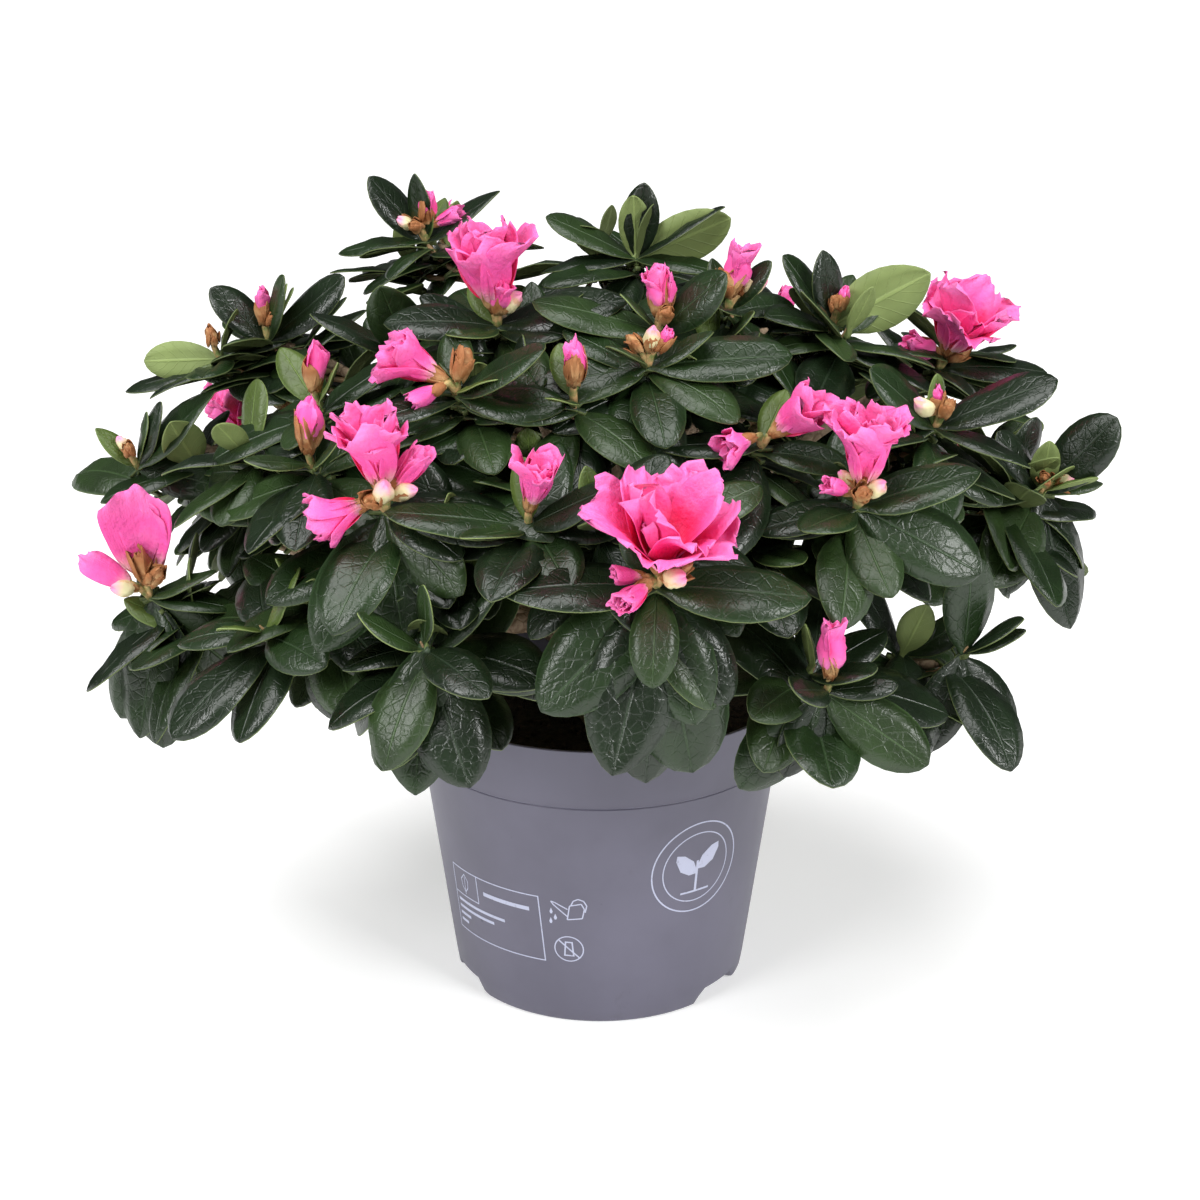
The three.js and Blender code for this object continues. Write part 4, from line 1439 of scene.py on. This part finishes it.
def bloom(shoot, kind, bearing, lean, size):
    """Adds one flower or bud of a kind to the shoot."""
    deal, unit = shoot.deal, size * MM
    axis, foot = shoot.stand(bearing, lean)
    among, scale_rings, heart, whorls = BLOSSOM[kind]
    stalk_to(shoot, foot, axis)
    for ring in scale_rings:
        scale_ring(foot - axis * SCALES_UNDER * unit, axis, unit, deal, *ring)
    if heart:
        buds, long, radius, furrow, sunk = heart
        start = foot - axis * sunk * unit
        buds.append(bud(start, axis, long * unit, radius * unit, furrow, deal.uniform(0, 6.28)))
    for ring in whorls:
        whorl(among, foot, axis, unit, deal, *ring)
    if kind == "upright_petals":  # a half-closed flower seen side on, with one broad petal in front
        for turned_to, back, long, wide in UPRIGHT_PETALS:
            way = bearing_direction(turned_to)
            start = foot - way * back * unit + Vector((0, 2 * MM, 0))
            petals.append(petal(
                start, axis + way * 0.05, way * -0.1 + Vector((0, 1, 0)), long * unit,
                wide * unit, 0.12, -0.30, 0.030, turned_to * 0.1, 0.20))
    elif kind == "loose_petal":
        points, faces = axis + Vector((0, 0, 0.25)), Vector((0, 0.6, -1))
        petals.append(petal(foot, points, faces, 21 * unit, 14 * unit, -0.3, 0.4, 0.06, 1.0))


for shoot in shoots:
    for part in shoot.blossom:
        bloom(shoot, *part)


def petal_finish(name, foot_colour, fade_from, fade_to):
    finish = Finish(
        name, Specular_IOR_Level=0.22, Subsurface_Weight=0.10, Subsurface_Scale=0.003)
    chart, along, _ = finish.chart()
    place = finish.place()
    cloud = finish.noise(place, 130, detail=4)
    wrinkles = finish.noise(place, 520, detail=4, roughness=0.6)
    streaks = finish.noise(finish.stretched(chart, (2.5, 30, 1)), 1.0, detail=3)
    fade = (along + (streaks - 0.5) * 0.25).between(fade_from, fade_to)
    body = finish.mix(fade, foot_colour, PETAL_PINK)
    pale = (along.between(0.6, 1.0) * 0.45 + cloud.between(0.45, 0.75) * 0.35).least(1.0)
    return finish.feed(
        Base_Color=finish.mix(pale, body, PETAL_PALE),
        Roughness=0.55 + 0.15 * cloud,
        Normal=finish.bump(streaks * 0.4 + wrinkles + cloud * 0.5, 0.7, 0.0008),
    )


def bud_finish(name, foot_colour, tip_colour, low, high, dry):
    finish = Finish(name, Specular_IOR_Level=0.35)
    _, rise, _ = finish.chart()
    cloud = finish.noise(finish.place(), 300, detail=4)
    body = finish.mix((rise + cloud * 0.4 - 0.2).between(low, high), foot_colour, tip_colour)
    return finish.feed(
        Base_Color=finish.mix(cloud.between(0.52, 0.66) * dry, body, SCALE_TAN),
        Roughness=0.45 + 0.2 * cloud,
        Normal=finish.bump(finish.noise(finish.place(), 800, detail=2), 0.4, 0.0004),
    )


def scale_finish():
    finish = Finish("papery_scale", Specular_IOR_Level=0.35)
    chart, along, _ = finish.chart()
    cloud = finish.noise(finish.place(), 260, detail=5)
    fibres = finish.noise(finish.stretched(chart, (3, 40, 1)), 1.0, detail=2)
    foot = finish.mix(cloud.between(0.4, 0.6), SCALE_TAN, SCALE_BROWN)
    return finish.feed(
        Base_Color=finish.mix((along * 0.8 + cloud * 0.5).between(0.25, 0.95), foot, SCALE_BROWN),
        Roughness=0.5 + 0.2 * fibres,
        Normal=finish.bump(fibres, 0.5, 0.0004),
    )


def stalk_finish():
    finish = Finish("green_stalk", Specular_IOR_Level=0.35)
    cloud = finish.noise(finish.place(), 400, detail=4)
    return finish.feed(
        Base_Color=finish.mix(cloud.between(0.35, 0.65), STALK_GREEN, SCALE_TAN),
        Roughness=0.55 + 0.15 * cloud,
        Normal=finish.bump(cloud, 0.4, 0.0003),
    )


def lay_petals(name, stamp, parts, materials):
    """Joins petals or scales; the last material is for their outer sides."""
    chart = (stamp.points[:, :2] + 1) / 2
    slots = [(0, len(materials) - 1)] * len(parts)
    return stamp.lay(name, petal_points(stamp, parts), materials, slots, chart)


def lay_buds(name, copies, *look):
    chart = np.stack([bud_rise, bud_turn / (2 * math.pi) + 0.5], axis=1)
    return bud_shape.lay(name + "s", np.array(copies), [bud_finish(name, *look)], None, chart)


petal_sides = [
    petal_finish("petal_inside", PETAL_THROAT, 0.25, 0.85),
    petal_finish("petal_outside", PETAL_FOOT, 0.0, 0.32),
]
blossom = [
    lay_petals("flower_petals", petal_shape, petals, petal_sides),
    lay_petals("bud_petals", small_petal_shape, small_petals, petal_sides),
    lay_petals("bud_scales", scale_shape, scales, [scale_finish()]),
    lay_buds("pink_bud", pink_buds, PETAL_PALE, PETAL_PINK, 0.05, 0.6, 0.0),
    lay_buds("cream_bud", cream_buds, BUD_CREAM, PETAL_PALE, 0.55, 1.1, 0.75),
    lay_buds("brown_bud", brown_buds, SCALE_TAN, SCALE_BROWN, 0.3, 0.9, 0.5),
    stalk_shape.lay("flower_stalks", np.array(stalks), [stalk_finish()]),
]
for piece in blossom:
    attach(piece, "root")

# ---------------------------------------------------------------------------------------------
# The setting: a plain pale floor, soft studio light from above and both sides, and the camera.

FLOOR_SIDE = 16
CROWN_MIDDLE = Vector((0, 0, 0.16))
CAMERA_PLACE = (0, -0.7007, 0.3742)
CAMERA_PITCH = 0.332  # radians below level
CAMERA_LENS = 65.94
WHITE = (1, 1, 1, 1)


def floor_finish():
    finish = Finish(
        "pale_floor", Roughness=0.9, Specular_IOR_Level=0.1, Emission_Color=WHITE,
        Emission_Strength=0.42)
    speckle = finish.noise(finish.place(), 40, detail=2)
    return finish.feed(Base_Color=finish.mix(speckle, (0.73, 0.73, 0.73), (0.76, 0.76, 0.76)))


def in_scene(name, data, place, turn):
    """A new lamp or camera, set up in its place."""
    made = bpy.data.objects.new(name, data)
    made.location, made.rotation_euler = place, turn
    bpy.context.scene.collection.objects.link(made)
    return made


def softbox(name, place, side, power):
    """A square lamp that faces the plant."""
    light = bpy.data.lights.new(name, "AREA")
    light.shape, light.size, light.energy = "SQUARE", side, power
    aim = (CROWN_MIDDLE - Vector(place)).to_track_quat("-Z", "Y").to_euler()
    in_scene(name, light, place, aim)


floor_bm = bmesh.new()
bmesh.ops.create_grid(floor_bm, x_segments=4, y_segments=4, size=FLOOR_SIDE / 2)
bmesh.ops.translate(floor_bm, verts=floor_bm.verts, vec=(0, 0, -0.2 * MM))
object_of("floor", floor_bm, [floor_finish()])
softbox("left_softbox", (-1.0, -1.0, 1.0), 0.6, 16)
softbox("right_softbox", (1.0, -1.0, 0.9), 0.5, 17)
overhead = bpy.data.lights.new("overhead_light", "SUN")
overhead.energy, overhead.angle = 3.0, math.radians(50)
in_scene("overhead_light", overhead, (0, 0, 0), (math.radians(12), math.radians(-8), 0))
world = bpy.data.worlds.new("studio")
world.use_nodes = True
background = world.node_tree.nodes["Background"]
background.inputs["Color"].default_value = WHITE
background.inputs["Strength"].default_value = 0.10
bpy.context.scene.world = world
bpy.context.scene.view_settings.view_transform = "Standard"

camera_data = bpy.data.cameras.new("camera")
camera_data.lens, camera_data.sensor_width = CAMERA_LENS, 36
camera = in_scene("camera", camera_data, CAMERA_PLACE, (math.pi / 2 - CAMERA_PITCH, 0, 0))
bpy.context.scene.camera = camera
